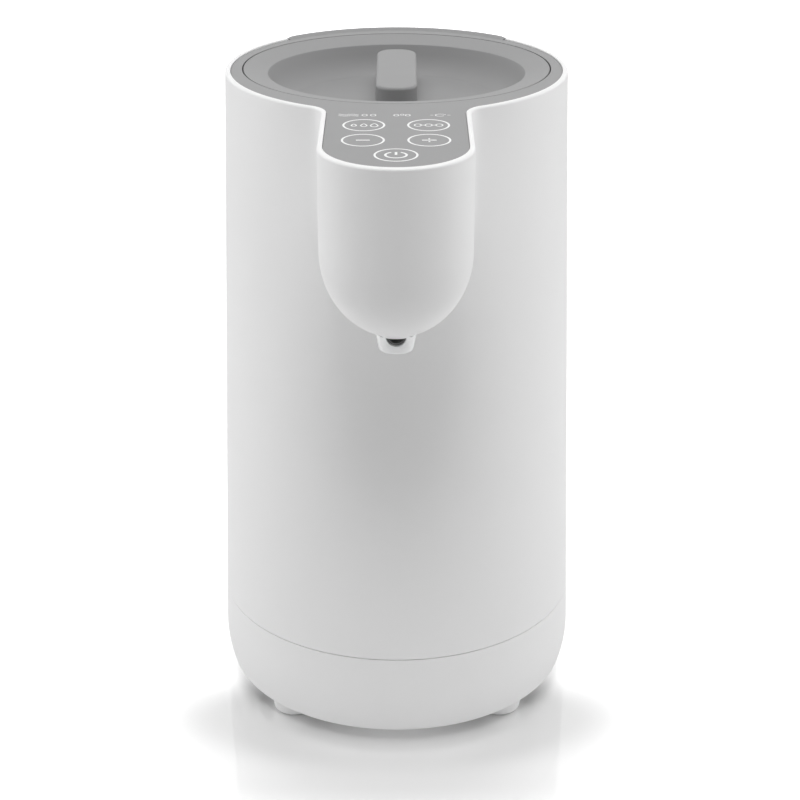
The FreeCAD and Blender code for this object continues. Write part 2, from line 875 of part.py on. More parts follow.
def heating_element():
    """Flat-topped heating tube bent round under the plate, with a terminal at each end."""
    top = tank_floor_height - heater_thickness
    low = top - element_height
    inner = element_radius - element_width / 2
    outer = element_radius + element_width / 2
    points = [
        (inner, top),
        (outer, top),
        (outer, low + element_round),
        (outer - element_round, low),
        (inner + element_round, low),
        (inner, low + element_round),
    ]
    corners = [Vector(radius, lid_centre, height) for radius, height in points]
    face = Part.Face(Part.makePolygon(corners + corners[:1]))
    element = face.revolve(Vector(0, lid_centre, 0), Vector(0, 0, 1), element_sweep)
    gap = (full_turn - element_sweep) / 2
    element.rotate(Vector(0, lid_centre, 0), Vector(0, 0, 1), gap - quarter_turn)
    for side in (-1, 1):
        x, y = polar(element_radius, side * 2 * gap - quarter_turn, lid_centre)
        element = element.fuse(disc(terminal_radius, low - terminal_length, low + element_round, x, y))
    return element.removeSplitter()


def thermal_cutout():
    """Round snap-action cut-out under the heater with two flat terminals."""
    top = tank_floor_height - heater_thickness
    low = top - cutout_height
    body = disc(cutout_radius, low, top, 0, lid_centre)
    for side in (-1, 1):
        x = side * cutout_radius / 2
        half = cutout_tab_thickness / 2
        y_low = lid_centre - cutout_tab_width / 2
        y_high = lid_centre + cutout_tab_width / 2
        body = body.fuse(block(x - half, x + half, y_low, y_high, low - cutout_tab_height, low))
    return body


def temperature_probe():
    """Steel probe that stands up through the tank's floor."""
    x, y = fitting_place(probe_angle)
    top = tank_floor_height + probe_rise
    tube = disc(probe_radius, tank_floor_height - probe_drop, top - probe_radius, x, y)
    return tube.fuse(Part.makeSphere(probe_radius, Vector(x, y, top - probe_radius))).removeSplitter()


def probe_grommet():
    """Silicone bush with a groove that grips the tank's floor round the probe."""
    x, y = fitting_place(probe_angle)
    base = tank_floor_height
    bore = probe_radius + running_gap
    points = [
        (bore, base - grommet_lip),
        (grommet_radius, base - grommet_lip),
        (grommet_radius, base),
        (grommet_neck_radius, base),
        (grommet_neck_radius, base + tank_wall),
        (grommet_radius, base + tank_wall),
        (grommet_neck_radius, base + tank_wall + grommet_lip),
        (bore, base + tank_wall + grommet_lip),
    ]
    return turned(points, x, y)


def outlet_fitting():
    """Flanged outlet through the tank's floor with a hose spigot below."""
    x, y = fitting_place(outlet_angle)
    seat = tank_floor_height + tank_wall + outlet_seal_height
    points = [
        (outlet_bore_radius, tank_floor_height - outlet_spigot_drop),
        (outlet_spigot_radius, tank_floor_height - outlet_spigot_drop),
        (outlet_spigot_radius, tank_floor_height - outlet_neck_drop),
        (outlet_neck_radius, tank_floor_height - outlet_neck_drop),
        (outlet_neck_radius, seat),
        (outlet_flange_radius, seat),
        (outlet_flange_radius, seat + outlet_flange_height),
        (outlet_bore_radius, seat + outlet_flange_height),
    ]
    return turned(points, x, y)


def outlet_seal():
    """Silicone washer under the outlet's flange."""
    x, y = fitting_place(outlet_angle)
    low = tank_floor_height + tank_wall
    return ring(outlet_flange_radius, outlet_neck_radius + running_gap, low, low + outlet_seal_height, x, y)


def outlet_nut():
    """Hexagon nut that pulls the outlet down."""
    x, y = fitting_place(outlet_angle)
    reach = outlet_nut_flats / 2 / math.cos(math.pi / outlet_nut_sides)
    corners = []
    low = tank_floor_height - outlet_nut_height
    for index in range(outlet_nut_sides):
        corner_x, corner_y = polar(reach, index * full_turn / outlet_nut_sides)
        corners.append(Vector(x + corner_x, y + corner_y, low))
    face = Part.Face(Part.makePolygon(corners + corners[:1]))
    nut = face.extrude(Vector(0, 0, outlet_nut_height))
    return nut.cut(disc(outlet_neck_radius + running_gap, low, tank_floor_height, x, y))


def pump_centre():
    """Point on the pump's axis at the front face of its cover."""
    outlet_y = fitting_place(outlet_angle)[1]
    return Vector(pump_front, outlet_y, pump_height)


def along_x(radius, start, end):
    """Cylinder about the pump's axis between two distances behind its front face."""
    centre = pump_centre()
    return Part.makeCylinder(radius, end - start, Vector(centre.x - end, centre.y, centre.z), Vector(1, 0, 0))


def pump_outlet_x():
    """Place along X of the pump's outlet pipe."""
    return pump_front - cover_thickness - volute_depth / 2


def pump_cover():
    """Front of the pump with its axial inlet and the spider that holds the shaft."""
    centre = pump_centre()
    spider_front = cover_thickness - shaft_bite
    cover = along_x(volute_radius, 0, cover_thickness)
    inlet = Part.makeCylinder(outlet_spigot_radius, pump_inlet_length, centre, Vector(1, 0, 0))
    cover = cover.fuse(inlet)
    cover = cover.cut(along_x(outlet_bore_radius, -pump_inlet_length, cover_skin))
    cover = cover.cut(along_x(eye_radius, cover_skin, cover_thickness))
    spider = along_x(spider_hub_radius, spider_front, cover_thickness)
    for index in range(spider_arm_count):
        x_low = centre.x - cover_thickness
        half = spider_arm / 2
        reach = eye_radius + spider_arm
        arm = block(x_low, x_low + shaft_bite, centre.y - half, centre.y + half, centre.z, centre.z + reach)
        arm.rotate(centre, Vector(1, 0, 0), index * full_turn / spider_arm_count)
        spider = spider.fuse(arm)
    cover = cover.fuse(spider)
    return cover.cut(along_x(shaft_radius, spider_front, cover_thickness)).removeSplitter()


def pump_housing():
    """Volute with a tangential outlet and the thin can that the rotor turns in."""
    centre = pump_centre()
    back = cover_thickness + volute_depth
    body = along_x(volute_radius, cover_thickness, back)
    can = along_x(rotor_can_radius, cover_thickness, back + rotor_can_length)
    outlet_y = centre.y - pump_outlet_offset
    outlet_place = Vector(pump_outlet_x(), outlet_y, centre.z)
    outlet = Part.makeCylinder(outlet_spigot_radius, pump_outlet_length, outlet_place)
    body = body.fuse(can).fuse(outlet)
    chamber = along_x(volute_radius - volute_wall, cover_thickness, back - volute_wall)
    bore_end = back + rotor_can_length - rotor_can_wall
    bore = along_x(rotor_can_radius - rotor_can_wall, cover_thickness, bore_end)
    passage = Part.makeCylinder(outlet_bore_radius, pump_outlet_length, outlet_place)
    body = body.cut(chamber).cut(bore).cut(passage)
    return body.removeSplitter()


def rotor_end():
    """Distance behind the pump's front face at which the rotor ends."""
    return cover_thickness + volute_depth + rotor_can_length - rotor_can_wall - rotor_end_gap


def pump_rotor():
    """Impeller with swept vanes on a magnet that turns in the can."""
    centre = pump_centre()
    disc_front = cover_thickness + rotor_end_gap + vane_height
    disc_back = disc_front + impeller_disc
    magnet_radius = rotor_can_radius - rotor_can_wall - magnet_gap
    rotor = along_x(impeller_radius, disc_front, disc_back)
    rotor = rotor.fuse(along_x(magnet_radius, disc_back, rotor_end()))
    rotor = rotor.fuse(along_x(impeller_hub_radius, cover_thickness + rotor_end_gap, disc_front))
    vane_x = centre.x - disc_front
    for index in range(vane_count):
        root = impeller_hub_radius - vane_thickness
        half = vane_thickness / 2
        vane = block(vane_x, vane_x + vane_height, root, impeller_radius, -half, half)
        vane.rotate(Vector(0, root, 0), Vector(1, 0, 0), vane_sweep)
        vane.rotate(Vector(0, 0, 0), Vector(1, 0, 0), index * full_turn / vane_count)
        vane.translate(Vector(0, centre.y, centre.z))
        rotor = rotor.fuse(vane.common(along_x(impeller_radius - half, 0, disc_back)))
    return rotor.cut(along_x(shaft_radius + running_gap, 0, rotor_end())).removeSplitter()


def rotor_shaft():
    """Fixed ceramic shaft, held in the cover and in the end of the can."""
    end = cover_thickness + volute_depth + rotor_can_length - rotor_can_wall
    return along_x(shaft_radius, cover_thickness - shaft_bite, end)


def pump_motor():
    """Stator and its casing round the rotor's can."""
    start = cover_thickness + volute_depth
    can_end = start + rotor_can_length
    body = along_x(motor_radius, start, can_end + motor_cap)
    body = body.makeFillet(motor_round, [edge for edge in body.Edges if is_far_end(edge)])
    return body.cut(along_x(rotor_can_radius + running_gap, start, can_end))


def is_far_end(edge):
    """Whether an edge lies in the end of the motor away from the inlet."""
    far = pump_front - cover_thickness - volute_depth - rotor_can_length - motor_cap
    return abs(edge.BoundBox.XMin - far) + abs(edge.BoundBox.XMax - far) < running_gap


def pump_bracket():
    """Rubber saddle that holds the motor on the floor of the base."""
    centre = pump_centre()
    start = cover_thickness + volute_depth + (rotor_can_length - bracket_length) / 2
    x_high = centre.x - start
    y_low = centre.y - bracket_half_width
    y_high = centre.y + bracket_half_width
    high = centre.z - bracket_top_drop
    saddle = block(x_high - bracket_length, x_high, y_low, y_high, floor_top, high)
    return saddle.cut(along_x(motor_radius + bracket_fit, start, start + bracket_length))


def bent_path(points):
    """Runs joined by tangent arcs, each as large as its shorter run allows."""
    corners = [Vector(*point) for point in points]
    edges = []
    start = corners[0]
    for before, corner, after in zip(corners, corners[1:], corners[2:]):
        back = (before - corner).normalize()
        ahead = (after - corner).normalize()
        turn = math.pi - back.getAngle(ahead)
        run = min((before - corner).Length, (after - corner).Length)
        tangent = bend_share * run
        radius = tangent / math.tan(turn / 2)
        arc_start = corner + back * tangent
        arc_end = corner + ahead * tangent
        inward = (back + ahead).normalize()
        middle = corner + inward * (radius / math.cos(turn / 2) - radius)
        edges.append(Part.LineSegment(start, arc_start).toShape())
        edges.append(arc_through(arc_start, middle, arc_end))
        start = arc_end
    edges.append(Part.LineSegment(start, corners[-1]).toShape())
    return Part.Wire(edges)


def hose(points, outer, inner):
    """Round hose along a bent path."""
    path = bent_path(points)
    direction = (Vector(*points[1]) - Vector(*points[0])).normalize()
    start = Vector(*points[0])
    solids = []
    for radius in (outer, inner):
        circle = Part.Wire([Part.Circle(start, direction, radius).toShape()])
        solids.append(path.makePipeShell([circle], True, False))
    return solids[0].cut(solids[1])


def suction_route():
    """Route from the tank's outlet down to the pump's inlet."""
    x, y = fitting_place(outlet_angle)
    top = tank_floor_height - outlet_spigot_drop + hose_grip
    end = pump_front + pump_inlet_length - hose_grip
    return [(x, y, top), (x, y, pump_height), (end, y, pump_height)]


def delivery_route():
    """Route from the pump's outlet up in front of the tank and forward into the head."""
    x = pump_outlet_x()
    y = pump_centre().y - pump_outlet_offset
    low = pump_height + pump_outlet_length - hose_grip
    gap_y = lid_centre - tank_radius - hose_standoff
    lean_top = low + hose_grip + hose_rise + hose_lean
    high = rim_height - hose_top_drop
    end = spout_height + spout_bend + running_gap
    return [
        (x, y, low),
        (x, y, low + hose_grip + hose_rise),
        (0, gap_y, lean_top),
        (0, gap_y, high),
        (0, -nose_reach, high),
        (0, -nose_reach, end),
    ]


def suction_hose():
    """Silicone hose from the tank to the pump."""
    return hose(suction_route(), hose_radius, hose_bore_radius)


def delivery_hose():
    """Silicone hose from the pump to the spout."""
    return hose(delivery_route(), hose_radius, hose_bore_radius)


def hose_clips():
    """Spring clips round the hose ends."""
    suction = suction_route()
    delivery = delivery_route()
    inner = hose_radius + clip_gap
    outer = inner + clip_thickness
    clips = []
    for x, y, low in (
        (suction[0][0], suction[0][1], suction[0][2] - hose_grip + clip_width / 2),
        (delivery[0][0], delivery[0][1], delivery[0][2] + clip_width / 2),
        (delivery[-1][0], delivery[-1][1], delivery[-1][2] + clip_width / 2),
    ):
        clips.append(ring(outer, inner, low, low + clip_width, x, y))
    end = suction[-1]
    place = Vector(end[0] + clip_width / 2, end[1], end[2])
    clip = Part.makeCylinder(outer, clip_width, place, Vector(1, 0, 0))
    clips.append(clip.cut(Part.makeCylinder(inner, clip_width, place, Vector(1, 0, 0))))
    return Part.makeCompound(clips)


def dome_height(radius):
    """Height of the head's underside at a distance from the nose's axis."""
    return dome_start - dome_depth * math.sqrt(1 - (radius / head_half_width) ** 2)


def spout_port():
    """Room for the spout's end: round inside the neck, and cut off level through the front wall."""
    radius = spout_radius + spout_port_gap
    front = -nose_reach - cup_top_radius - cup_rise
    low = spout_height - radius
    along = Part.makeCylinder(radius, -nose_reach - front, Vector(0, front, spout_height), Vector(0, 1, 0))
    inside = disc(cup_neck_radius, low, spout_height + radius, 0, -nose_reach)
    below = block(-radius, radius, front, -nose_reach, low, spout_height - bridge_drop)
    return along.common(inside.fuse(below))


def rim_dip(side):
    """Round finger dip in the cup's rim, on one side of the port."""
    angle = side * cup_dip_angle - quarter_turn
    x, y = polar(cup_neck_radius, angle, -nose_reach)
    height = dome_height(cup_top_radius) + cup_dip_radius - cup_dip_depth
    turn = math.radians(angle)
    outward = Vector(math.cos(turn), math.sin(turn), 0)
    return Part.makeCylinder(cup_dip_radius, cup_rise, Vector(x, y, height), outward)


def nozzle_cup():
    """Translucent cup under the head, with a neck that snaps into it, a port and two rim dips."""
    low = dome_bottom - cup_drop
    high = dome_bottom + cup_rise
    slope = (cup_top_radius - cup_bottom_radius) / cup_drop
    high_radius = cup_top_radius + slope * cup_rise
    y = -nose_reach
    outside = Part.makeCone(cup_bottom_radius, high_radius, high - low, Vector(0, y, low))
    outside = outside.makeFillet(cup_corner, level_edges(outside, low))
    outside = outside.cut(head_form(cup_dome_gap, high + wall))
    for side in (-1, 1):
        outside = outside.cut(rim_dip(side))
    neck = disc(cup_neck_radius, dome_bottom - wall, dome_bottom + cup_neck_rise, 0, y)
    hollow = disc(cup_neck_radius - cup_neck_wall, low + cup_wall, dome_bottom + cup_neck_rise, 0, y)
    cup = outside.fuse(neck).cut(hollow)
    cup = cup.cut(disc(cup_mouth_radius, low, low + cup_wall, 0, y))
    return cup.cut(spout_port()).removeSplitter()


def outlet_tube():
    """Silicone elbow whose open end faces forward in the cup, with a joint up into the hose."""
    y = -nose_reach
    top = spout_height + spout_bend
    corner = Vector(0, y - spout_bend, top)
    joint_top = top + spout_joint_length
    tube = None
    for outer in (spout_radius, spout_bore_radius):
        face = Part.Face(Part.Wire([Part.Circle(Vector(0, y, top), Vector(0, 0, 1), outer).toShape()]))
        bend = face.revolve(corner, Vector(1, 0, 0), -quarter_turn)
        end = Vector(0, y - spout_bend, spout_height)
        nose = Part.makeCylinder(outer, spout_reach - spout_bend, end, Vector(0, -1, 0))
        part = bend.fuse(nose)
        tube = part if tube is None else tube.cut(part)
    joint = ring(outlet_spigot_radius, outlet_bore_radius, top, joint_top, 0, y)
    return tube.fuse(joint).removeSplitter()


def board_prism(low, high):
    """Outline of the touch board: the tongue, set in from the plate's edge."""
    half = panel_half_width - board_inset
    back = board_back_inset - nose_front
    return plan_prism(-board_inset, low, high).common(block(-half, half, -nose_front, back, low, high))


def touch_board():
    """Circuit board under the control tongue."""
    high = plate_top - board_drop
    board = board_prism(high - board_thickness, high)
    for x, y in board_post_places():
        board = board.cut(disc(small_shank_radius + hole_gap, high - board_thickness, high, x, y))
    return board


def touch_pads():
    """Conductive foam pads between the board and the plate, one to each key."""
    pads = [disc(touch_pad_radius, plate_top - board_drop, plate_low, x, y) for x, y in key_places()]
    return Part.makeCompound(pads)


def indicator_leds():
    """Three lamps on the board behind the marks above the keys."""
    low = plate_top - board_drop
    lamps = []
    for x in led_columns:
        x_low = x - led_width / 2
        y_low = led_inset - nose_front - led_depth / 2
        lamps.append(block(x_low, x_low + led_width, y_low, y_low + led_depth, low, low + led_height))
    return Part.makeCompound(lamps)


def panel_screws():
    """Screws that hold the touch board to its posts."""
    face = plate_top - board_drop - board_thickness
    length = board_drop - plate_thickness
    screws = []
    for x, y in board_post_places():
        screws.append(fixing(small_head_radius, small_head_height, small_shank_radius, length, x, y, face))
    return Part.makeCompound(screws)


def power_board():
    """Upright power board behind the pump."""
    half = power_board_width / 2
    high = power_board_low + power_board_height
    return block(-half, half, power_board_y - board_thickness, power_board_y, power_board_low, high)


def board_parts():
    """Relay, transformer and capacitors on the front of the power board."""
    face = power_board_y - board_thickness
    half = power_board_width / 2
    low = power_board_low + standoff_inset
    high = power_board_low + power_board_height - standoff_inset
    left = -half + 2 * standoff_inset
    right = half - 2 * standoff_inset
    relay_right = left + relay_size[0]
    transformer_right = left + transformer_size[0]
    transformer_low = high - transformer_size[2]
    parts = [
        block(left, relay_right, face - relay_size[1], face, low, low + relay_size[2]),
        block(left, transformer_right, face - transformer_size[1], face, transformer_low, high),
    ]
    for index in range(capacitor_count):
        x = right - capacitor_radius
        place = Vector(x, face, low + capacitor_radius + index * capacitor_pitch)
        parts.append(Part.makeCylinder(capacitor_radius, capacitor_length, place, Vector(0, -1, 0)))
    return Part.makeCompound(parts)


def board_bracket():
    """Folded bracket that carries the power board on four standoffs."""
    half = power_board_width / 2
    sheet_y = power_board_y + standoff_length
    high = power_board_low + power_board_height
    bracket = block(-half, half, sheet_y, sheet_y + bracket_sheet, floor_top, high)
    flange_y = sheet_y + bracket_flange
    bracket = bracket.fuse(block(-half, half, sheet_y, flange_y, floor_top, floor_top + bracket_sheet))
    for side in (-1, 1):
        for z in (power_board_low + standoff_inset, high - standoff_inset):
            x = side * (half - standoff_inset)
            place = Vector(x, power_board_y, z)
            standoff = Part.makeCylinder(standoff_radius, standoff_length, place, Vector(0, 1, 0))
            bracket = bracket.fuse(standoff)
    return bracket.removeSplitter()


def inlet_face():
    """Place along Y of the inlet's front face, just inside the round wall at its corners."""
    radius = shell_radius(base_bottom + base_tuck_height)
    return math.sqrt(radius**2 - (inlet_width / 2) ** 2) - inlet_setback


def inlet_back():
    """Place along Y of the inlet's back face."""
    return inlet_face() - inlet_body_depth


def power_inlet():
    """Appliance inlet: a block with a six-sided cavity that a lead plugs into."""
    face = inlet_face()
    half = inlet_width / 2
    tall = inlet_tall / 2
    body = block(-half, half, inlet_back(), face, inlet_height - tall, inlet_height + tall)
    body = body.makeFillet(base_floor / 2, [edge for edge in body.Edges if edge.BoundBox.YLength > wall])
    wide = inlet_cavity_width / 2
    high = inlet_height + inlet_cavity_tall / 2
    low = inlet_height - inlet_cavity_tall / 2
    points = [
        (-wide, low),
        (wide, low),
        (wide, high - inlet_chamfer),
        (wide - inlet_chamfer, high),
        (-wide + inlet_chamfer, high),
        (-wide, high - inlet_chamfer),
    ]
    corners = [Vector(x, face - inlet_cavity_depth, z) for x, z in points]
    cavity = Part.Face(Part.makePolygon(corners + corners[:1])).extrude(Vector(0, inlet_cavity_depth, 0))
    body = body.cut(cavity)
    for blade in blade_solids(running_gap):
        body = body.cut(blade)
    return body


def blade_solids(gap):
    """Three upright blades, the middle one raised, each grown by a gap."""
    blades = []
    for index in (-1, 0, 1):
        x = index * blade_spacing
        z = inlet_height + (blade_lift if index == 0 else -blade_lift)
        half = blade_width / 2 + gap
        tall = blade_tall / 2 + gap
        y_low = inlet_back() - blade_tail
        blades.append(block(x - half, x + half, y_low, inlet_face() - blade_recess, z - tall, z + tall))
    return blades


def inlet_blades():
    """Contact blades of the inlet."""
    return Part.makeCompound(blade_solids(0))


def base_screws():
    """Screws that hold the base to the shell."""
    face = post_top - post_head_room
    length = base_screw_length + post_head_room - screw_head_height
    screws = []
    for x, y in boss_points():
        screws.append(fixing(screw_head_radius, screw_head_height, screw_shank_radius, length, x, y, face))
    return Part.makeCompound(screws)


def frame_screws():
    """Screws that hold the legs of the tank frame to the base."""
    face = leg_post_height - post_head_room
    length = frame_screw_length + post_head_room - screw_head_height
    screws = []
    for angle in leg_angles:
        x, y = polar(leg_ring_radius, angle, lid_centre)
        screws.append(fixing(screw_head_radius, screw_head_height, screw_shank_radius, length, x, y, face))
    return Part.makeCompound(screws)


def main():
    """Build every piece and write it."""
    os.makedirs("parts", exist_ok=True)
    makers = (
        outer_shell, base_cover, top_plate, lid_shell, lid_handle, lid_inner_cap, lid_gasket, lid_screws,
        water_tank, tank_mouth_seal, tank_frame, heater_plate, heating_element, thermal_cutout,
        temperature_probe, probe_grommet, outlet_fitting, outlet_seal, outlet_nut, pump_cover, pump_housing,
        pump_rotor, rotor_shaft, pump_motor, pump_bracket, suction_hose, delivery_hose, hose_clips,
        nozzle_cup, outlet_tube, touch_board, touch_pads, indicator_leds, panel_screws, power_board,
        board_parts, board_bracket, power_inlet, inlet_blades, base_screws, frame_screws,
    )
    for maker in makers:
        export(maker.__name__, maker())
    for name, angle in foot_angles.items():
        export(name, foot(angle))


main()
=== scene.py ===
import logging
import math
from collections.abc import Callable, Sequence
from dataclasses import dataclass
from enum import Enum
from typing import ClassVar

import bpy
import numpy as np
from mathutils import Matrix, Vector


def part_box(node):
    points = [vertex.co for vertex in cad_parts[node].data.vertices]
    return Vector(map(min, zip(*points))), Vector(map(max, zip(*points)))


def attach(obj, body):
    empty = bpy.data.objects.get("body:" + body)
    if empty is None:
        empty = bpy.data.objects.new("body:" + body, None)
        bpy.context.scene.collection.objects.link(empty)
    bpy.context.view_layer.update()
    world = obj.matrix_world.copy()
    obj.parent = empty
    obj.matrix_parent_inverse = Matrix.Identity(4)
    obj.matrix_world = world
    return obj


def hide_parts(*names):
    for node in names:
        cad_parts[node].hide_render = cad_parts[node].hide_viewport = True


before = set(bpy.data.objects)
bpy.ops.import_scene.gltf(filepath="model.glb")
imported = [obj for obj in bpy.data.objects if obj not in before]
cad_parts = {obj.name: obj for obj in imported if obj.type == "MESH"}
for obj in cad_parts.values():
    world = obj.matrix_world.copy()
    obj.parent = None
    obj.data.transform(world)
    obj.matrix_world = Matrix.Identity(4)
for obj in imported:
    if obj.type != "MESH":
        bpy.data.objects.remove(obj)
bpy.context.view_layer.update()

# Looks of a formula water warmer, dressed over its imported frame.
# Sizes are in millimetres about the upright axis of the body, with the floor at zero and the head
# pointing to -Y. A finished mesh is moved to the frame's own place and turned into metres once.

MILLIMETRE = 0.001
FULL_TURN = 2 * math.pi
SHARP_ANGLE = math.radians(35.0)
LOOK_PREFIX = "look_"

Piece = bpy.types.Object
Tree = bpy.types.NodeTree
Socket = bpy.types.NodeSocket
Pair = tuple[float, float]
Triple = tuple[float, float, float]
Arrays = tuple[np.ndarray, np.ndarray]
Rule = Callable[[np.ndarray], np.ndarray]

log = logging.getLogger("warmer")


class Ends(Enum):
    """How the first and last ring of a loft are closed."""

    LOOP = "the last ring joins the first"
    FANS = "each end is filled from its middle"


class Change(Enum):
    """What a second surface does to a piece."""

    CUT = "DIFFERENCE"
    ADD = "UNION"


class Body(Enum):
    """Bodies of the frame that new pieces ride on."""

    HOUSING = "housing"
    LID = "lid"


def body_axis() -> Vector:
    """Return the place of the body's axis on the floor, in metres, midway between the feet."""
    low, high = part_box("foot_front_left")[0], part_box("foot_back_right")[1]
    return Vector(((low.x + high.x) / 2, (low.y + high.y) / 2, 0.0))


# Shapes


@dataclass
class Skin:
    """Closed surface in millimetres about the body's axis."""

    points: np.ndarray
    quads: np.ndarray
    triangles: np.ndarray

    def outward(self) -> "Skin":
        """Turn the faces outward.

        The volume is a sixth of the sum of each triangle's first corner times the cross product of
        the other two. Where it comes out negative, the order of every face is reversed.

        Returns:
            The surface with its faces pointing out.
        """
        halves = (self.triangles, self.quads[:, :3], self.quads[:, [0, 2, 3]])
        corners = self.points[np.concatenate(halves)]
        volume = np.einsum("ij,ij->", corners[:, 0], np.cross(corners[:, 1], corners[:, 2]))
        if volume < 0:
            return Skin(self.points, self.quads[:, ::-1], self.triangles[:, ::-1])
        return self

    def moved(self, x: float = 0.0, y: float = 0.0, z: float = 0.0) -> "Skin":
        """Return the surface moved by a distance along each axis."""
        return Skin(self.points + np.array((x, y, z)), self.quads, self.triangles)

    def carried(self, ring: float, degrees: float, centre: float = 0.0) -> "Skin":
        """Return the surface moved out to a ring about a centre on the Y axis."""
        turn = math.radians(degrees)
        return self.moved(ring * math.cos(turn), centre + ring * math.sin(turn))


def joined(skins: Sequence[Skin]) -> Skin:
    """Put several closed surfaces into one.

    Args:
        skins: The surfaces.

    Returns:
        One surface with all their points and faces.
    """
    starts = np.cumsum([0] + [len(skin.points) for skin in skins[:-1]])
    return Skin(
        np.concatenate([skin.points for skin in skins]),
        np.concatenate([skin.quads + start for skin, start in zip(skins, starts)]),
        np.concatenate([skin.triangles + start for skin, start in zip(skins, starts)]),
    )


def loft(rings: Sequence[np.ndarray], ends: Ends) -> Skin:
    """Skin a stack of closed rings.

    A point is a function of its row and its column. Each face joins two neighbours of one row to
    the same two columns of the next, and the last column joins the first.

    Args:
        rings: Rings of the same number of points, with three coordinates each.
        ends: How the first and last row are closed.

    Returns:
        The closed surface, facing outward.
    """
    rings = np.asarray(rings)
    rows, columns = rings.shape[:2]
    index = np.arange(rows * columns).reshape(rows, columns)
    upper = index if ends is Ends.LOOP else index[:-1]
    lower = np.roll(index, -1, axis=0) if ends is Ends.LOOP else index[1:]
    sides = (upper, np.roll(upper, -1, axis=1), np.roll(lower, -1, axis=1), lower)
    quads = np.stack(sides, axis=-1).reshape(-1, 4)
    points = rings.reshape(-1, 3)
    triangles = np.zeros((0, 3), int)
    if ends is Ends.FANS:
        first, last = index[0], index[-1]
        middles = np.stack((rings[0].mean(axis=0), rings[-1].mean(axis=0)))
        start = np.full(columns, len(points))
        fans = (
            np.stack((start, np.roll(first, -1), first), axis=-1),
            np.stack((start + 1, last, np.roll(last, -1)), axis=-1),
        )
        points = np.concatenate((points, middles))
        triangles = np.concatenate(fans)
    return Skin(points, quads, triangles).outward()


def raised(outline: np.ndarray, height: object) -> np.ndarray:
    """Return a ring with the x and y of an outline and a height, or one height for each point."""
    return np.column_stack((outline, np.broadcast_to(np.asarray(height, float), len(outline))))


def polar(reach: object, angles: np.ndarray) -> np.ndarray:
    """Return rows of x and y from distances and angles about the axis."""
    return np.column_stack((reach * np.cos(angles), reach * np.sin(angles)))


def circle_angles(count: int) -> np.ndarray:
    """Return evenly spaced angles of a full turn, in radians."""
    return np.arange(count) * FULL_TURN / count


def quarter_round(count: int) -> list[Pair]:
    """Return pairs of one minus the cosine and one minus the sine over a quarter turn."""
    turns = np.linspace(0, math.pi / 2, count)
    return list(zip(1 - np.cos(turns), 1 - np.sin(turns)))


def rounded_path(
    corners: Sequence[Sequence[float]], radii: Sequence[float], steps: int = 5, closed: bool = False
) -> np.ndarray:
    """Line through corners, with an arc in place of each corner that has a radius.

    The arc starts and ends at radius / tan(half the corner's angle) from the corner, its centre is
    at radius / sin(half the angle) on the bisector, and its points turn evenly from start to end.

    Args:
        corners: Points with any number of coordinates.
        radii: Radius at each corner, 0 for a sharp one.
        steps: Segments of an arc.
        closed: Whether the last point joins the first.

    Returns:
        The points of the line, one row each.
    """
    points = np.asarray(corners, float)
    turn = np.linspace(0, 1, steps + 1)[:, None]
    line = []
    for index, radius in enumerate(radii):
        corner = points[index]
        if radius <= 0 or not closed and index in (0, len(points) - 1):
            line.append(corner[None])
            continue
        back = points[index - 1] - corner
        ahead = points[(index + 1) % len(points)] - corner
        back = back / np.linalg.norm(back)
        ahead = ahead / np.linalg.norm(ahead)
        half = math.acos(np.clip(back @ ahead, -1, 1)) / 2
        bisector = (back + ahead) / np.linalg.norm(back + ahead)
        centre = corner + bisector * radius / math.sin(half)
        start = corner + back * radius / math.tan(half) - centre
        end = corner + ahead * radius / math.tan(half) - centre
        sweep = math.pi - 2 * half
        arc = (np.sin((1 - turn) * sweep) * start + np.sin(turn * sweep) * end) / math.sin(sweep)
        line.append(centre + arc)
    return np.concatenate(line)


def oval_rings(profile: np.ndarray, centre_y: float, count: int) -> np.ndarray:
    """Level ovals from rows of half width, half depth and height.

    x is the half width times the cosine, and y the half depth times the sine, of the ring's angle.

    Args:
        profile: Rows of half width, half depth and height.
        centre_y: Place of the ovals' centre on the Y axis.
        count: Points of a ring.

    Returns:
        Array of rows, columns and three coordinates.
    """
    angles = circle_angles(count)
    x = profile[:, 0:1] * np.cos(angles)
    y = profile[:, 1:2] * np.sin(angles) + centre_y
    return np.stack((x, y, np.broadcast_to(profile[:, 2:3], x.shape)), axis=-1)


def revolved(
    corners: Sequence[Sequence[float]],
    radii: Sequence[float],
    ends: Ends,
    count: int = 96,
    steps: int = 5,
) -> Skin:
    """Surface of revolution about the upright axis from a profile of radius and height.

    Args:
        corners: Corner points of the profile, as radius and height.
        radii: Rounding of each corner.
        ends: LOOP for a closed profile, FANS for one that starts and ends with a flat disc.
        count: Points of a ring.
        steps: Segments of each rounding.

    Returns:
        The closed surface.
    """
    line = rounded_path(corners, radii, steps, ends is Ends.LOOP)
    return loft(oval_rings(line[:, [0, 0, 1]], 0.0, count), ends)


def rod(radius: float, low: float, high: float, count: int = 48) -> Skin:
    """Return a plain upright cylinder, used as a cutter or a post."""
    return revolved(((radius, low), (radius, high)), (0, 0), Ends.FANS, count)


def brick(size: Sequence[float], middle: Sequence[float]) -> Skin:
    """Return a plain box for cutting, from its full sizes and its middle point."""
    signs = np.array(((-1, -1), (1, -1), (1, 1), (-1, 1)))
    outline = np.array(middle)[:2] + signs * np.array(size)[:2] / 2
    return loft([raised(outline, middle[2] + side * size[2]) for side in (-0.5, 0.5)], Ends.FANS)


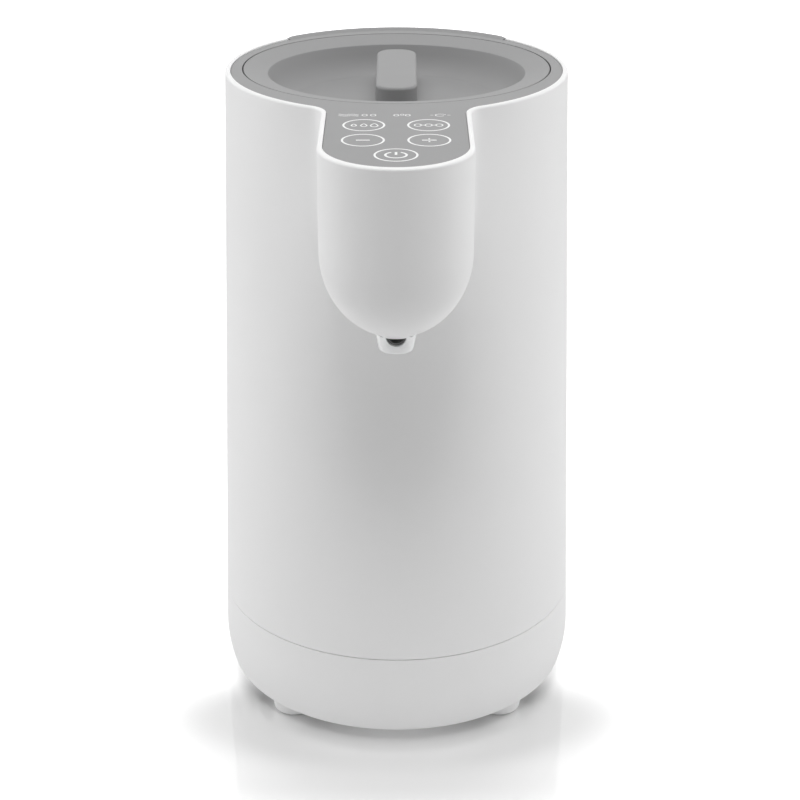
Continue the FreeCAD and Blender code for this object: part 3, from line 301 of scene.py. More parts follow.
def pipe(path: np.ndarray, outer: float, inner: float, rounding: float, count: int) -> Skin:
    """Round tube carried along a path in the upright middle plane, with rounded rims.

    Each ring lies square to the path: its points are the path's point plus the radius times the
    cosine along X and the sine along the path's normal. The rims are half arcs between the radii.

    Args:
        path: Points of the middle line, as y and z.
        outer: Outer radius.
        inner: Radius of the bore.
        rounding: Radius of the rims' edges.
        count: Points of a ring.

    Returns:
        The closed tube.
    """
    ahead = np.gradient(path, axis=0)
    ahead /= np.linalg.norm(ahead, axis=1, keepdims=True)
    turn = np.linspace(0, np.pi, 9)
    middle, swing = (outer + inner) / 2, (outer - inner) / 2
    shape = np.sign(np.cos(turn)) * np.abs(np.cos(turn)) ** (rounding / swing)
    rim = middle + swing * shape
    rise = (rounding * np.sin(turn))[:, None]
    rims = (path[-1] + ahead[-1] * rise, path[0] - ahead[0] * rise[::-1])
    line = np.concatenate((path, rims[0], path[::-1], rims[1]))
    ends = [np.tile(ahead[place], (len(turn), 1)) for place in (-1, 0)]
    along = np.concatenate((ahead, ends[0], ahead[::-1], ends[1]))
    sides = [np.full(len(path), radius) for radius in (outer, inner)]
    radius = np.concatenate((sides[0], rim, sides[1], rim[::-1]))[:, None]
    across = np.column_stack((-along[:, 1], along[:, 0]))
    angles = circle_angles(count)
    x = radius * np.cos(angles)
    yz = line[:, None] + across[:, None] * (radius * np.sin(angles))[..., None]
    return loft(np.concatenate((x[..., None], yz), axis=-1), Ends.LOOP)


def ribbon(path: np.ndarray, half_width: float, low: float, high: float, closed: bool) -> Skin:
    """Flat printed line of even width with square edges.

    Each cross-section is a rectangle: the path's point plus and minus the half width along the
    normal, at the lower and the upper height.

    Args:
        path: Points of the middle line, as x and y.
        half_width: Half of the line's width.
        low: Height of its underside.
        high: Height of its top.
        closed: Whether the line joins its own start.

    Returns:
        The closed surface.
    """
    turned = np.roll(path, -1, axis=0) - np.roll(path, 1, axis=0)
    ahead = turned if closed else np.gradient(path, axis=0)
    ahead = ahead / np.linalg.norm(ahead, axis=1, keepdims=True)
    across = np.column_stack((-ahead[:, 1], ahead[:, 0])) * half_width
    left, right = path + across, path - across
    edges = ((left, low), (right, low), (right, high), (left, high))
    corners = [raised(side, height) for side, height in edges]
    return loft(np.stack(corners, axis=1), Ends.LOOP if closed else Ends.FANS)


def new_object(name: str, skin: Skin) -> Piece:
    """Write a surface into a new object at the origin.

    Args:
        name: Name of the object and its mesh.
        skin: The surface.

    Returns:
        The object, with its mesh in metres in the frame.
    """
    mesh = bpy.data.meshes.new(name)
    points = skin.points * MILLIMETRE + np.array(body_axis())
    corners = np.concatenate((skin.quads.ravel(), skin.triangles.ravel()))
    sizes = np.repeat((4, 3), (len(skin.quads), len(skin.triangles)))
    mesh.vertices.add(len(points))
    mesh.vertices.foreach_set("co", points.astype(np.float32).ravel())
    mesh.loops.add(len(corners))
    mesh.loops.foreach_set("vertex_index", corners.astype(np.int32))
    mesh.polygons.add(len(sizes))
    mesh.polygons.foreach_set("loop_start", (np.cumsum(sizes) - sizes).astype(np.int32))
    mesh.update(calc_edges=True)
    mesh.validate()
    made = bpy.data.objects.new(name, mesh)
    bpy.context.scene.collection.objects.link(made)
    return made


def combine(target: Piece, other: Skin, change: Change) -> None:
    """Cut a surface out of an object, or add it, and keep the result as the object's mesh.

    Args:
        target: Object that is changed.
        other: Surface that is cut out or added.
        change: Which of the two.
    """
    tool = new_object(target.name + "_tool", other)
    modifier = target.modifiers.new("combine", "BOOLEAN")
    modifier.operation = change.value
    modifier.solver = "EXACT"
    modifier.object = tool
    graph = bpy.context.evaluated_depsgraph_get()
    result = bpy.data.meshes.new_from_object(target.evaluated_get(graph))
    target.modifiers.clear()
    spare = target.data
    target.data = result
    bpy.data.meshes.remove(spare)
    bpy.data.objects.remove(tool)


# Finishes

CLOUD_WAVES = 22.0
PATCH_WAVES = 60.0
WEAR_HIGHLIGHT_WAVES = 420.0
WEAR_HIGHLIGHT_START = 0.02
WEAR_HIGHLIGHT_FULL = 0.25


def feed(tree: Tree, value: object, target: Socket) -> None:
    """Join an output to an input, or set the input to a number, a colour or a vector."""
    if isinstance(value, Socket):
        tree.links.new(value, target)
    else:
        target.default_value = value


def add_node(tree: Tree, kind: str, inputs: dict, **settings: object) -> bpy.types.Node:
    """Add a shader node.

    Args:
        tree: Tree that gets the node.
        kind: Its type, without the leading ShaderNode.
        inputs: For each input, by name or number, its value or the output that feeds it.
        settings: The node's own choices, which are set first.

    Returns:
        The node.
    """
    node = tree.nodes.new("ShaderNode" + kind)
    for label, value in settings.items():
        setattr(node, label, value)
    for label, value in inputs.items():
        feed(tree, value, node.inputs[label])
    return node


def maths(tree: Tree, operation: str, *values: object) -> Socket:
    """Return the output of a new Math node over numbers or sockets."""
    return add_node(tree, "Math", dict(enumerate(values)), operation=operation).outputs[0]


def noise(tree: Tree, vector: Socket, scale: object, detail: float) -> Socket:
    """Return the value of a new Noise node, whose scale is in waves per metre."""
    inputs = {"Vector": vector, "Scale": scale, "Detail": detail}
    return add_node(tree, "TexNoise", inputs).outputs["Fac"]


def new_group(name: str, inputs: dict[str, object], outputs: Sequence[str]) -> Tree:
    """Make an empty shader node group.

    Args:
        name: Name of the group.
        inputs: For each input its default: a number, "Color" or "Vector".
        outputs: Names of the outputs, of which Colour is a colour and the rest are numbers.

    Returns:
        The group, with its input and output nodes named "in" and "out".
    """
    tree = bpy.data.node_groups.new(name, "ShaderNodeTree")
    for label, default in inputs.items():
        kind = default if isinstance(default, str) else "Float"
        socket = tree.interface.new_socket(label, in_out="INPUT", socket_type="NodeSocket" + kind)
        if kind == "Float":
            socket.default_value = default
    for label in outputs:
        kind = "NodeSocketColor" if label == "Colour" else "NodeSocketFloat"
        tree.interface.new_socket(label, in_out="OUTPUT", socket_type=kind)
    tree.nodes.new("NodeGroupInput").name = "in"
    tree.nodes.new("NodeGroupOutput").name = "out"
    return tree


def build_grain_group(name: str) -> Tree:
    """Make the moulded grain: cloudy tone, uneven gloss and a fine eroded height.

    The colour is multiplied by one plus the mottle times a broad noise. The roughness is its middle
    plus the spread times a second noise. The height is a fine noise of the grain's own scale.

    Args:
        name: Name of the group.

    Returns:
        The group.
    """
    inputs = {"Vector": "Vector", "Colour": "Color", "Mottle": 0.02, "Roughness": 0.4}
    inputs |= {"Spread": 0.08, "Scale": 3000.0}
    tree = new_group(name, inputs, ("Colour", "Roughness", "Height"))
    given, out = tree.nodes["in"].outputs, tree.nodes["out"].inputs
    cloud = noise(tree, given["Vector"], CLOUD_WAVES, 4.0)
    swing = maths(tree, "MULTIPLY", maths(tree, "SUBTRACT", cloud, 0.5), given["Mottle"])
    tone = maths(tree, "ADD", 1.0, maths(tree, "MULTIPLY", swing, 2.0))
    scaled = add_node(tree, "VectorMath", {0: given["Colour"], "Scale": tone}, operation="SCALE")
    patch = maths(tree, "SUBTRACT", noise(tree, given["Vector"], PATCH_WAVES, 3.0), 0.5)
    rough = maths(tree, "MULTIPLY_ADD", patch, given["Spread"], given["Roughness"])
    feed(tree, scaled.outputs[0], out["Colour"])
    feed(tree, rough, out["Roughness"])
    feed(tree, noise(tree, given["Vector"], given["Scale"], 2.0), out["Height"])
    return tree


def build_wear_highlight_group(name: str) -> Tree:
    """Make the rubbed and painted-light edges: a mask that is 1 on convex edges, broken up by
    noise.

    The mask is one minus the product of the true normal and a normal rounded over the width,
    raised by a gain and multiplied by a noise, and it mixes the colour towards the lighter worn
    one, which is partly rubbed wear and partly a painted edge highlight.

    Args:
        name: Name of the group.

    Returns:
        The group.
    """
    inputs = {"Vector": "Vector", "Colour": "Color", "Worn and lit": "Color"}
    tree = new_group(name, inputs | {"Width": 0.0006, "Amount": 0.5}, ("Colour", "Mask"))
    given, out = tree.nodes["in"].outputs, tree.nodes["out"].inputs
    soft = add_node(tree, "Bevel", {"Radius": given["Width"]}, samples=4)
    true = add_node(tree, "NewGeometry", {})
    normals = {0: soft.outputs[0], 1: true.outputs["Normal"]}
    match = add_node(tree, "VectorMath", normals, operation="DOT_PRODUCT")
    bend = maths(tree, "SUBTRACT", 1.0, match.outputs["Value"])
    limits = {"Value": bend, "From Min": WEAR_HIGHLIGHT_START, "From Max": WEAR_HIGHLIGHT_FULL}
    edge = add_node(tree, "MapRange", limits).outputs[0]
    broken = noise(tree, given["Vector"], WEAR_HIGHLIGHT_WAVES, 3.0)
    mask = maths(tree, "MULTIPLY", maths(tree, "MULTIPLY", edge, broken), given["Amount"])
    # Lighter edges: rubbed wear and a painted highlight.
    colours = {"Factor": mask, 6: given["Colour"], 7: given["Worn and lit"]}
    mix = add_node(tree, "Mix", colours, data_type="RGBA")
    feed(tree, mix.outputs[2], out["Colour"])
    feed(tree, mask, out["Mask"])
    return tree


GROUP_MAKERS = {"moulded_grain": build_grain_group, "edge_wear_highlight": build_wear_highlight_group}


def shared_group(name: str) -> Tree:
    """Return one of the shared groups, made on first use."""
    return bpy.data.node_groups.get(name) or GROUP_MAKERS[name](name)


def opaque(colour: Sequence[float]) -> tuple[float, ...]:
    """Return a colour with full alpha."""
    return (*colour, 1.0)


def grey(value: float) -> Triple:
    """Return a neutral colour."""
    return (value, value, value)


@dataclass(frozen=True)
class Finish:
    """Cloudy tone, uneven gloss and a fine relief, which every finish has.

    Each kind of finish sets its own grain scale, in waves per metre, and depth, in metres.
    """

    name: str
    colour: Triple
    roughness: float

    mottle: ClassVar[float] = 0.012
    spread: ClassVar[float] = 0.08
    metallic: ClassVar[float] = 0.0

    def relief(self, tree: Tree, place: Socket, grain: bpy.types.Node) -> tuple[Socket, Socket]:
        """Return the outputs that give the finish its colour and its height."""
        return grain.outputs["Colour"], grain.outputs["Height"]

    def material(self) -> bpy.types.Material:
        """Build the material from the shared grain and the finish's own relief.

        Returns:
            The material.
        """
        material = bpy.data.materials.new(LOOK_PREFIX + self.name)
        material.use_nodes = True
        tree = material.node_tree
        place = add_node(tree, "TexCoord", {}).outputs["Object"]
        inputs = {
            "Vector": place,
            "Colour": opaque(self.colour),
            "Mottle": self.mottle,
            "Roughness": self.roughness,
            "Spread": self.spread,
            "Scale": self.grain_scale,
        }
        grain = add_node(tree, "Group", inputs, node_tree=shared_group("moulded_grain"))
        colour, height = self.relief(tree, place, grain)
        bump = add_node(tree, "Bump", {"Distance": self.depth, "Height": height})
        shader = tree.nodes["Principled BSDF"].inputs
        feed(tree, colour, shader["Base Color"])
        feed(tree, grain.outputs["Roughness"], shader["Roughness"])
        feed(tree, bump.outputs[0], shader["Normal"])
        feed(tree, self.metallic, shader["Metallic"])
        return material


@dataclass(frozen=True)
class MouldedFinish(Finish):
    """Moulded plastic, rubber or silicone with fine grain and rubbed, painted-highlight edges."""

    worn_highlight: Triple
    grain_scale: float = 2600.0
    depth: float = 0.00001
    wear_highlight_amount: float = 0.35

    wear_highlight_width: ClassVar[float] = 0.0006

    def relief(self, tree: Tree, place: Socket, grain: bpy.types.Node) -> tuple[Socket, Socket]:
        """Mix the lighter edge colour in: rubbed wear and a painted highlight.

        Args:
            tree: The material's tree.
            place: Coordinates that the patterns read.
            grain: The grain's node.

        Returns:
            The outputs for the colour and the height.
        """
        inputs = {
            "Vector": place,
            "Colour": grain.outputs["Colour"],
            "Worn and lit": opaque(self.worn_highlight),
            "Width": self.wear_highlight_width,
            "Amount": self.wear_highlight_amount,
        }
        wear = add_node(tree, "Group", inputs, node_tree=shared_group("edge_wear_highlight"))
        return wear.outputs["Colour"], grain.outputs["Height"]


@dataclass(frozen=True)
class MetalFinish(Finish):
    """Bare metal with drawn or turned lines."""

    mottle: ClassVar[float] = 0.03
    spread: ClassVar[float] = 0.12
    metallic: ClassVar[float] = 1.0
    grain_scale: ClassVar[float] = 900.0
    depth: ClassVar[float] = 0.000012
    stretch: ClassVar[Triple] = (60.0, 60.0, 1800.0)

    def relief(self, tree: Tree, place: Socket, grain: bpy.types.Node) -> tuple[Socket, Socket]:
        """Return the grain's colour and a noise drawn out into lines."""
        lines = add_node(tree, "Mapping", {"Vector": place, "Scale": self.stretch}).outputs[0]
        return grain.outputs["Colour"], noise(tree, lines, 1.0, 3.0)


# The third colour of a moulded finish lightens its edges: partly rubbed wear, partly a painted
# highlight.
FINISHES = {
    finish.name: finish
    for finish in (
        MouldedFinish("white_plastic", grey(0.88), 0.42, grey(0.93)),
        MouldedFinish(
            "grey_plastic", (0.285, 0.285, 0.287), 0.5, grey(0.4), 3200.0, wear_highlight_amount=0.25
        ),
        MouldedFinish("cap_plastic", grey(0.8), 0.38, grey(0.86)),
        MouldedFinish("frame_plastic", (0.66, 0.66, 0.65), 0.55, grey(0.74)),
        MouldedFinish("dark_plastic", (0.035, 0.035, 0.036), 0.5, grey(0.09)),
        MouldedFinish("clear_plastic", (0.94, 0.945, 0.95), 0.26, grey(0.96), depth=0.000006),
        MouldedFinish("foot_rubber", grey(0.84), 0.5, grey(0.88)),
        MouldedFinish("dark_rubber", grey(0.2), 0.7, grey(0.26)),
        MouldedFinish("silicone", (0.74, 0.74, 0.73), 0.55, grey(0.8)),
        MouldedFinish("hose_silicone", (0.76, 0.76, 0.74), 0.5, (0.82, 0.82, 0.8)),
        MouldedFinish("circuit_board", (0.03, 0.17, 0.08), 0.4, (0.2, 0.24, 0.16)),
        MouldedFinish("ink", grey(0.88), 0.5, grey(0.88), depth=0.000002),
        MetalFinish("tank_steel", (0.62, 0.62, 0.61), 0.3),
        MetalFinish("steel", grey(0.56), 0.32),
        MetalFinish("aluminium", (0.75, 0.75, 0.76), 0.42),
        MetalFinish("brass", (0.72, 0.53, 0.25), 0.3),
    )
}


def paint(mesh: bpy.types.Mesh, slot: str) -> None:
    """Give a mesh the material of a slot, made on first use."""
    mesh.materials.clear()
    mesh.materials.append(bpy.data.materials.get(LOOK_PREFIX + slot) or FINISHES[slot].material())


def dress_piece(piece: Piece, slot: str, body: Body, *nodes: str) -> Piece:
    """Shade, paint and attach a finished piece.

    Args:
        piece: Object whose mesh is final.
        slot: Material slot of the record that it takes its finish from.
        body: Body that it rides on.
        nodes: Frame nodes that it stands for.

    Returns:
        The piece.
    """
    mesh = piece.data
    mesh.shade_smooth()
    mesh.set_sharp_from_angle(angle=SHARP_ANGLE)
    piece.modifiers.new("flat_faces", "WEIGHTED_NORMAL").keep_sharp = True
    paint(mesh, slot)
    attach(piece, body.value)
    if nodes:
        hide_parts(*nodes)
    log.info("%s: %d faces on %s", piece.name, len(mesh.polygons), body.value)
    return piece


# Outer body


def halved(outside: Rule, rays: Sequence[int], far: float, count: int) -> np.ndarray:
    """Find by halving an interval where rays leave a shape.

    Args:
        outside: Tells for a distance along each ray whether it lies outside.
        rays: Shape of the array of rays.
        far: A distance that lies outside on every ray.
        count: Number of halvings.

    Returns:
        The distance along each ray.
    """
    low, high = np.zeros(rays), np.full(rays, far)
    for _ in range(count):
        middle = (low + high) / 2
        past = outside(middle)
        low, high = np.where(past, low, middle), np.where(past, middle, high)
    return (low + high) / 2


def spread_columns(outline: Rule, count: int, half_angle: float) -> np.ndarray:
    """Directions of columns, evenly along an outline, with close pairs at the ends of the notch.

    Args:
        outline: Gives rows of x and y for angles about the axis.
        count: Number of columns before the pairs are added.
        half_angle: Angle in degrees between the back and each end of the rear notch.

    Returns:
        Angles about the axis, in radians and rising.
    """
    fine = circle_angles(7200)
    rim = outline(fine)
    steps = np.linalg.norm(np.roll(rim, -1, axis=0) - rim, axis=1)
    walked = np.concatenate(((0.0,), np.cumsum(steps)))
    spots = np.arange(count) * walked[-1] / count
    angles = np.interp(spots, walked, np.append(fine, FULL_TURN))
    ends = np.radians((90 - half_angle, 90 + half_angle))
    clear = np.all(np.abs(angles[:, None] - ends) > math.radians(0.4), axis=1)
    hair = math.radians(0.01)
    return np.sort(np.concatenate((angles[clear], ends - hair, ends + hair)))


@dataclass(frozen=True)
class Keyhole:
    """Outline seen from above: a circle and a round-nosed tongue, joined by two blends."""

    circle: float
    half_width: float
    nose: float
    blend: float

    def distance(self, x: np.ndarray, y: np.ndarray) -> np.ndarray:
        """Signed distance in plan, negative inside.

        It is the smaller of the distance to the circle and to the tongue, which ends at the
        circle's middle. Between the directions from a blend's centre to its two touching points it
        is the blend's radius minus the distance from that centre.

        Args:
            x: Places across.
            y: Places along, the nose at -Y.

        Returns:
            The distances.
        """
        across = np.abs(x)
        ahead = np.minimum(y + self.nose, 0)
        tongue = np.maximum(np.hypot(across, ahead) - self.half_width, y)
        plain = np.minimum(np.hypot(x, y) - self.circle, tongue)
        centre_x = self.half_width + self.blend
        reach = self.circle + self.blend
        centre_y = -math.sqrt(reach**2 - centre_x**2)
        from_x, from_y = across - centre_x, y - centre_y
        toward = (-centre_x / reach, -centre_y / reach)
        turn = (from_x * toward[1] - from_y * toward[0]) / toward[1]
        inside = (from_y / toward[1] > 0) & (turn < 0)
        return np.where(inside, self.blend - np.hypot(from_x, from_y), plain)

    def reach(self, angles: np.ndarray, offset: float) -> np.ndarray:
        """Distance from the axis to the outline along each angle.

        Args:
            angles: Directions about the axis, in radians.
            offset: How far outside the outline to stop, negative for inside.

        Returns:
            The distances.
        """
        cosine, sine = np.cos(angles), np.sin(angles)

        def outside(reach: np.ndarray) -> np.ndarray:
            """Tell whether the points at these distances from the axis lie outside."""
            return self.distance(reach * cosine, reach * sine) > offset

        return halved(outside, angles.shape, 250.0, 34)


@dataclass(frozen=True)
class OuterShell:
    """White body and head in one moulding."""

    rim_height: float = 294.0
    split_height: float = 45.4
    top_radius: float = 74.2
    split_radius: float = 81.7
    wall: float = 2.6
    lip_round: float = 0.9
    lip_inner_round: float = 0.25
    seat_width: float = 2.4
    seat_height: float = 291.5
    seat_low: float = 289.3
    head_half_width: float = 30.0
    nose_reach: float = 121.4
    dome_start: float = 252.6
    dome_depth: float = 34.3
    blend: float = 9.8
    notch_half_angle: float = 43.5
    notch_step: float = 0.2
    nozzle_hole: float = 7.35
    eye_height: float = 256.0
    columns: int = 360
    outer_rows: int = 150
    inner_rows: int = 60
    inner_outline: Keyhole = Keyhole(71.9, 28.0, 120.0, 12.0)

    @property
    def taper(self) -> float:
        """Growth of the radius per unit of height going down."""
        return (self.split_radius - self.top_radius) / (self.rim_height - self.split_height)

    def body_radius(self, height: object) -> object:
        """Radius of the tapered body at a height."""
        return self.top_radius + (self.rim_height - height) * self.taper

    def dome_height(self, radius: object) -> object:
        """Height of the head's underside at a distance from the nose's axis."""
        share = np.clip(1 - (np.asarray(radius) / self.head_half_width) ** 2, 0, 1)
        return self.dome_start - self.dome_depth * np.sqrt(share)

    def cone(self, points: np.ndarray) -> Arrays:
        """Signed distance to the tapered body and its direction.

        The distance is (radius - body radius at this height) times the cosine of the taper.

        Args:
            points: Array whose last axis holds x, y and z.

        Returns:
            The distances, and the unit vectors along which they grow.
        """
        x, y, z = np.moveaxis(points, -1, 0)
        cosine = 1 / math.hypot(1, self.taper)
        radius = np.maximum(np.hypot(x, y), 1e-9)
        distance = (radius - self.body_radius(z)) * cosine
        slope = np.full_like(radius, self.taper * cosine)
        return distance, np.stack((x / radius * cosine, y / radius * cosine, slope), axis=-1)

    def head(self, points: np.ndarray) -> Arrays:
        """Signed distance to the head and its direction.

        Above the dome it is the distance to a round-nosed channel. Below, with g the length of
        (d / half width, drop / depth), it is g (g - 1) over the length of
        (d / half width^2, drop / depth^2). The head ends at the plane through the axis, where
        the distance is y.

        Args:
            points: Array whose last axis holds x, y and z.

        Returns:
            The distances, and the unit vectors along which they grow.
        """
        x, y, z = np.moveaxis(points, -1, 0)
        ahead = np.minimum(y + self.nose_reach, 0)
        across = np.maximum(np.hypot(x, ahead), 1e-9)
        drop = np.maximum(self.dome_start - z, 0)
        half, depth = self.head_half_width, self.dome_depth
        pull = np.hypot(across / half, drop / depth)
        steep = np.hypot(across / half**2, drop / depth**2)
        distance = np.where(drop > 0, pull * (pull - 1) / steep, across - half)
        flat = across / half**2 / steep
        slope = -drop / depth**2 / steep
        direction = np.stack((x / across * flat, ahead / across * flat, slope), axis=-1)
        behind = y > distance
        direction = np.where(behind[..., None], (0.0, 1.0, 0.0), direction)
        return np.where(behind, y, distance), direction

    def distance(self, points: np.ndarray) -> np.ndarray:
        """Signed distance to body and head with a rolled blend between them.

        The blend is the path of a ball of its radius that touches both. Its centre line is found
        from a point by moving along both directions until each distance equals the radius. Where
        the point lies between the two touching lines, the distance is the radius minus the length
        to that centre, and elsewhere it is the smaller of the two distances.

        Args:
            points: Array whose last axis holds x, y and z.

        Returns:
            The distances, negative inside.
        """
        body, head = self.cone(points)[0], self.head(points)[0]
        result = np.minimum(body, head)
        margin = self.wall + 1
        close = (body < self.blend) & (head < self.blend) & (body > -margin) & (head > -margin)
        start = points[close]
        centre = start.copy()
        for _ in range(3):
            (body, up_body), (head, up_head) = self.cone(centre), self.head(centre)
            share = np.einsum("...i,...i", up_body, up_head)
            left = np.maximum(1 - share**2, 0.05)
            body, head = self.blend - body, self.blend - head
            centre += ((body - share * head) / left)[:, None] * up_body
            centre += ((head - share * body) / left)[:, None] * up_head
        gap = centre - start
        along_body = np.einsum("...i,...i", gap, up_body)
        along_head = np.einsum("...i,...i", gap, up_head)
        between = (along_body > share * along_head) & (along_head > share * along_body)
        result[close] = np.where(between, self.blend - np.linalg.norm(gap, axis=-1), result[close])
        return result

    def found(self, start: np.ndarray, direction: np.ndarray, offset: object) -> np.ndarray:
        """Points where rays from inside first reach a distance from the surface.

        Args:
            start: Start points.
            direction: Directions, one for each ray.
            offset: Distance from the surface to stop at.

        Returns:
            The points.
        """

        def outside(reach: np.ndarray) -> np.ndarray:
            """Tell whether the points at these distances along the rays lie past the surface."""
            return self.distance(start + direction * reach[..., None]) > offset

        return start + direction * halved(outside, direction.shape[:-1], 330.0, 26)[..., None]

    def level_ring(self, angles: np.ndarray, height: object, offset: float) -> np.ndarray:
        """Return points at a height and a distance from the surface, one for each angle."""
        start = raised(np.zeros((len(angles), 2)), height)
        return self.found(start, raised(polar(1.0, angles), 0.0), offset)

    def side_rows(
        self, angles: np.ndarray, top: np.ndarray, offset: float, rows: int
    ) -> np.ndarray:
        """Rows of the side from the rim to the split line.

        Each column is the cut of the surface by an upright half-plane through the axis. A point is
        where the ray at its elevation from a point inside meets the surface. A first coarse run
        measures the columns, and the elevations are then spread so that the rows divide each
        column into equal lengths.

        Args:
            angles: Directions of the columns.
            top: Height where each column starts.
            offset: Distance from the outer surface, negative for the inner one.
            rows: Number of rows.

        Returns:
            Array of rows, columns and three coordinates.
        """
        eye = np.array((0.0, 0.0, self.eye_height))
        ends = []
        for height in (top, np.full_like(angles, self.split_height)):
            ring = self.level_ring(angles, height, offset)
            reach = np.linalg.norm(ring[:, :2], axis=1)
            ends.append(np.arctan2(height - self.eye_height, reach))
        first, last = ends

        def row_points(elevation: np.ndarray) -> np.ndarray:
            """Points at an elevation for each row and column."""
            flat = np.cos(elevation)
            x, y = flat * np.cos(angles), flat * np.sin(angles)
            return self.found(eye, np.stack((x, y, np.sin(elevation)), axis=-1), offset)

        coarse = first + (last - first) * np.linspace(0, 1, 200)[:, None]
        steps = np.linalg.norm(np.diff(row_points(coarse), axis=0), axis=-1)
        walked = np.concatenate((np.zeros((1, len(angles))), np.cumsum(steps, axis=0)))
        lane = 2 * np.arange(len(angles))[:, None]
        share = (walked / walked[-1]).T + lane
        wanted = np.linspace(0, 1, rows) + lane
        even = np.interp(wanted.ravel(), share.ravel(), coarse.T.ravel())
        return row_points(even.reshape(wanted.shape).T)

    def rim_rows(self, angles: np.ndarray, notched: np.ndarray) -> list[np.ndarray]:
        """Rows over the lip, down to the plate's seat and under it.

        Over the lip a row follows the quarter round: its height rises with the sine and its inset
        grows with one minus the cosine. In the notch the same rows lie flat on the seat.

        Args:
            angles: Directions of the columns.
            notched: Whether each column is in the rear notch.

        Returns:
            The rows, from the outer face inward.
        """

        def inner_ring(offset: float, height: object) -> np.ndarray:
            """Ring of the inner outline at an offset and a height."""
            return raised(polar(self.inner_outline.reach(angles, offset), angles), height)

        def below_rim(drop: float) -> np.ndarray:
            """Heights at a drop below the rim, or on the seat in the notch."""
            return np.where(notched, self.seat_height, self.rim_height - drop)

        rows = []
        for inset, drop in quarter_round(7)[1:]:
            height = below_rim(self.lip_round * drop)
            rows.append(self.level_ring(angles, height, -self.lip_round * inset))
        for drop, inset in quarter_round(4):
            height = below_rim(self.lip_inner_round * drop)
            rows.append(inner_ring(self.lip_inner_round * inset, height))
        corner, flat = (inner_ring(offset, self.seat_height) for offset in (0.0, -self.notch_step))
        rows.append(np.where(notched[:, None], flat, corner))
        for height in (self.seat_height, self.seat_low):
            rows.append(inner_ring(-self.seat_width, height))
        return rows

    def skin(self) -> Skin:
        """Closed surface of the moulding: outer side, lip, seat, inner side and lower edge.

        Returns:
            The surface.
        """

        def rim(turns: np.ndarray) -> np.ndarray:
            """Rows of x and y of the outer rim."""
            return self.level_ring(turns, self.rim_height, 0.0)[:, :2]

        angles = spread_columns(rim, self.columns, self.notch_half_angle)
        behind = np.abs(np.degrees(angles) - 90) < self.notch_half_angle
        top = np.where(behind, self.seat_height, self.rim_height - self.lip_round)
        outer = self.side_rows(angles, top, 0.0, self.outer_rows)
        low = np.full_like(angles, self.seat_low)
        inner = self.side_rows(angles, low, -self.wall, self.inner_rows)
        rows = np.concatenate((outer[::-1], self.rim_rows(angles, behind), inner))
        return loft(rows, Ends.LOOP)

    def build(self) -> None:
        """Build and dress the shell."""
        shell = new_object("body_moulding", self.skin())
        tip = self.dome_start - self.dome_depth
        hole = rod(self.nozzle_hole, tip - 8, tip + 9).moved(y=-self.nose_reach)
        combine(shell, hole, Change.CUT)
        dress_piece(shell, "white_plastic", Body.HOUSING, "outer_shell")


@dataclass(frozen=True)
class ScrewPosts:
    """Ring of hollow posts, each with a wide pocket below and a screw hole above."""

    ring: float
    centre: float
    angles: tuple[float, ...]
    radius: float
    pocket_top: float
    top: float

    def spread(self, skin: Skin) -> list[Skin]:
        """Return a copy of a surface at every post."""
        return [skin.carried(self.ring, angle, self.centre) for angle in self.angles]


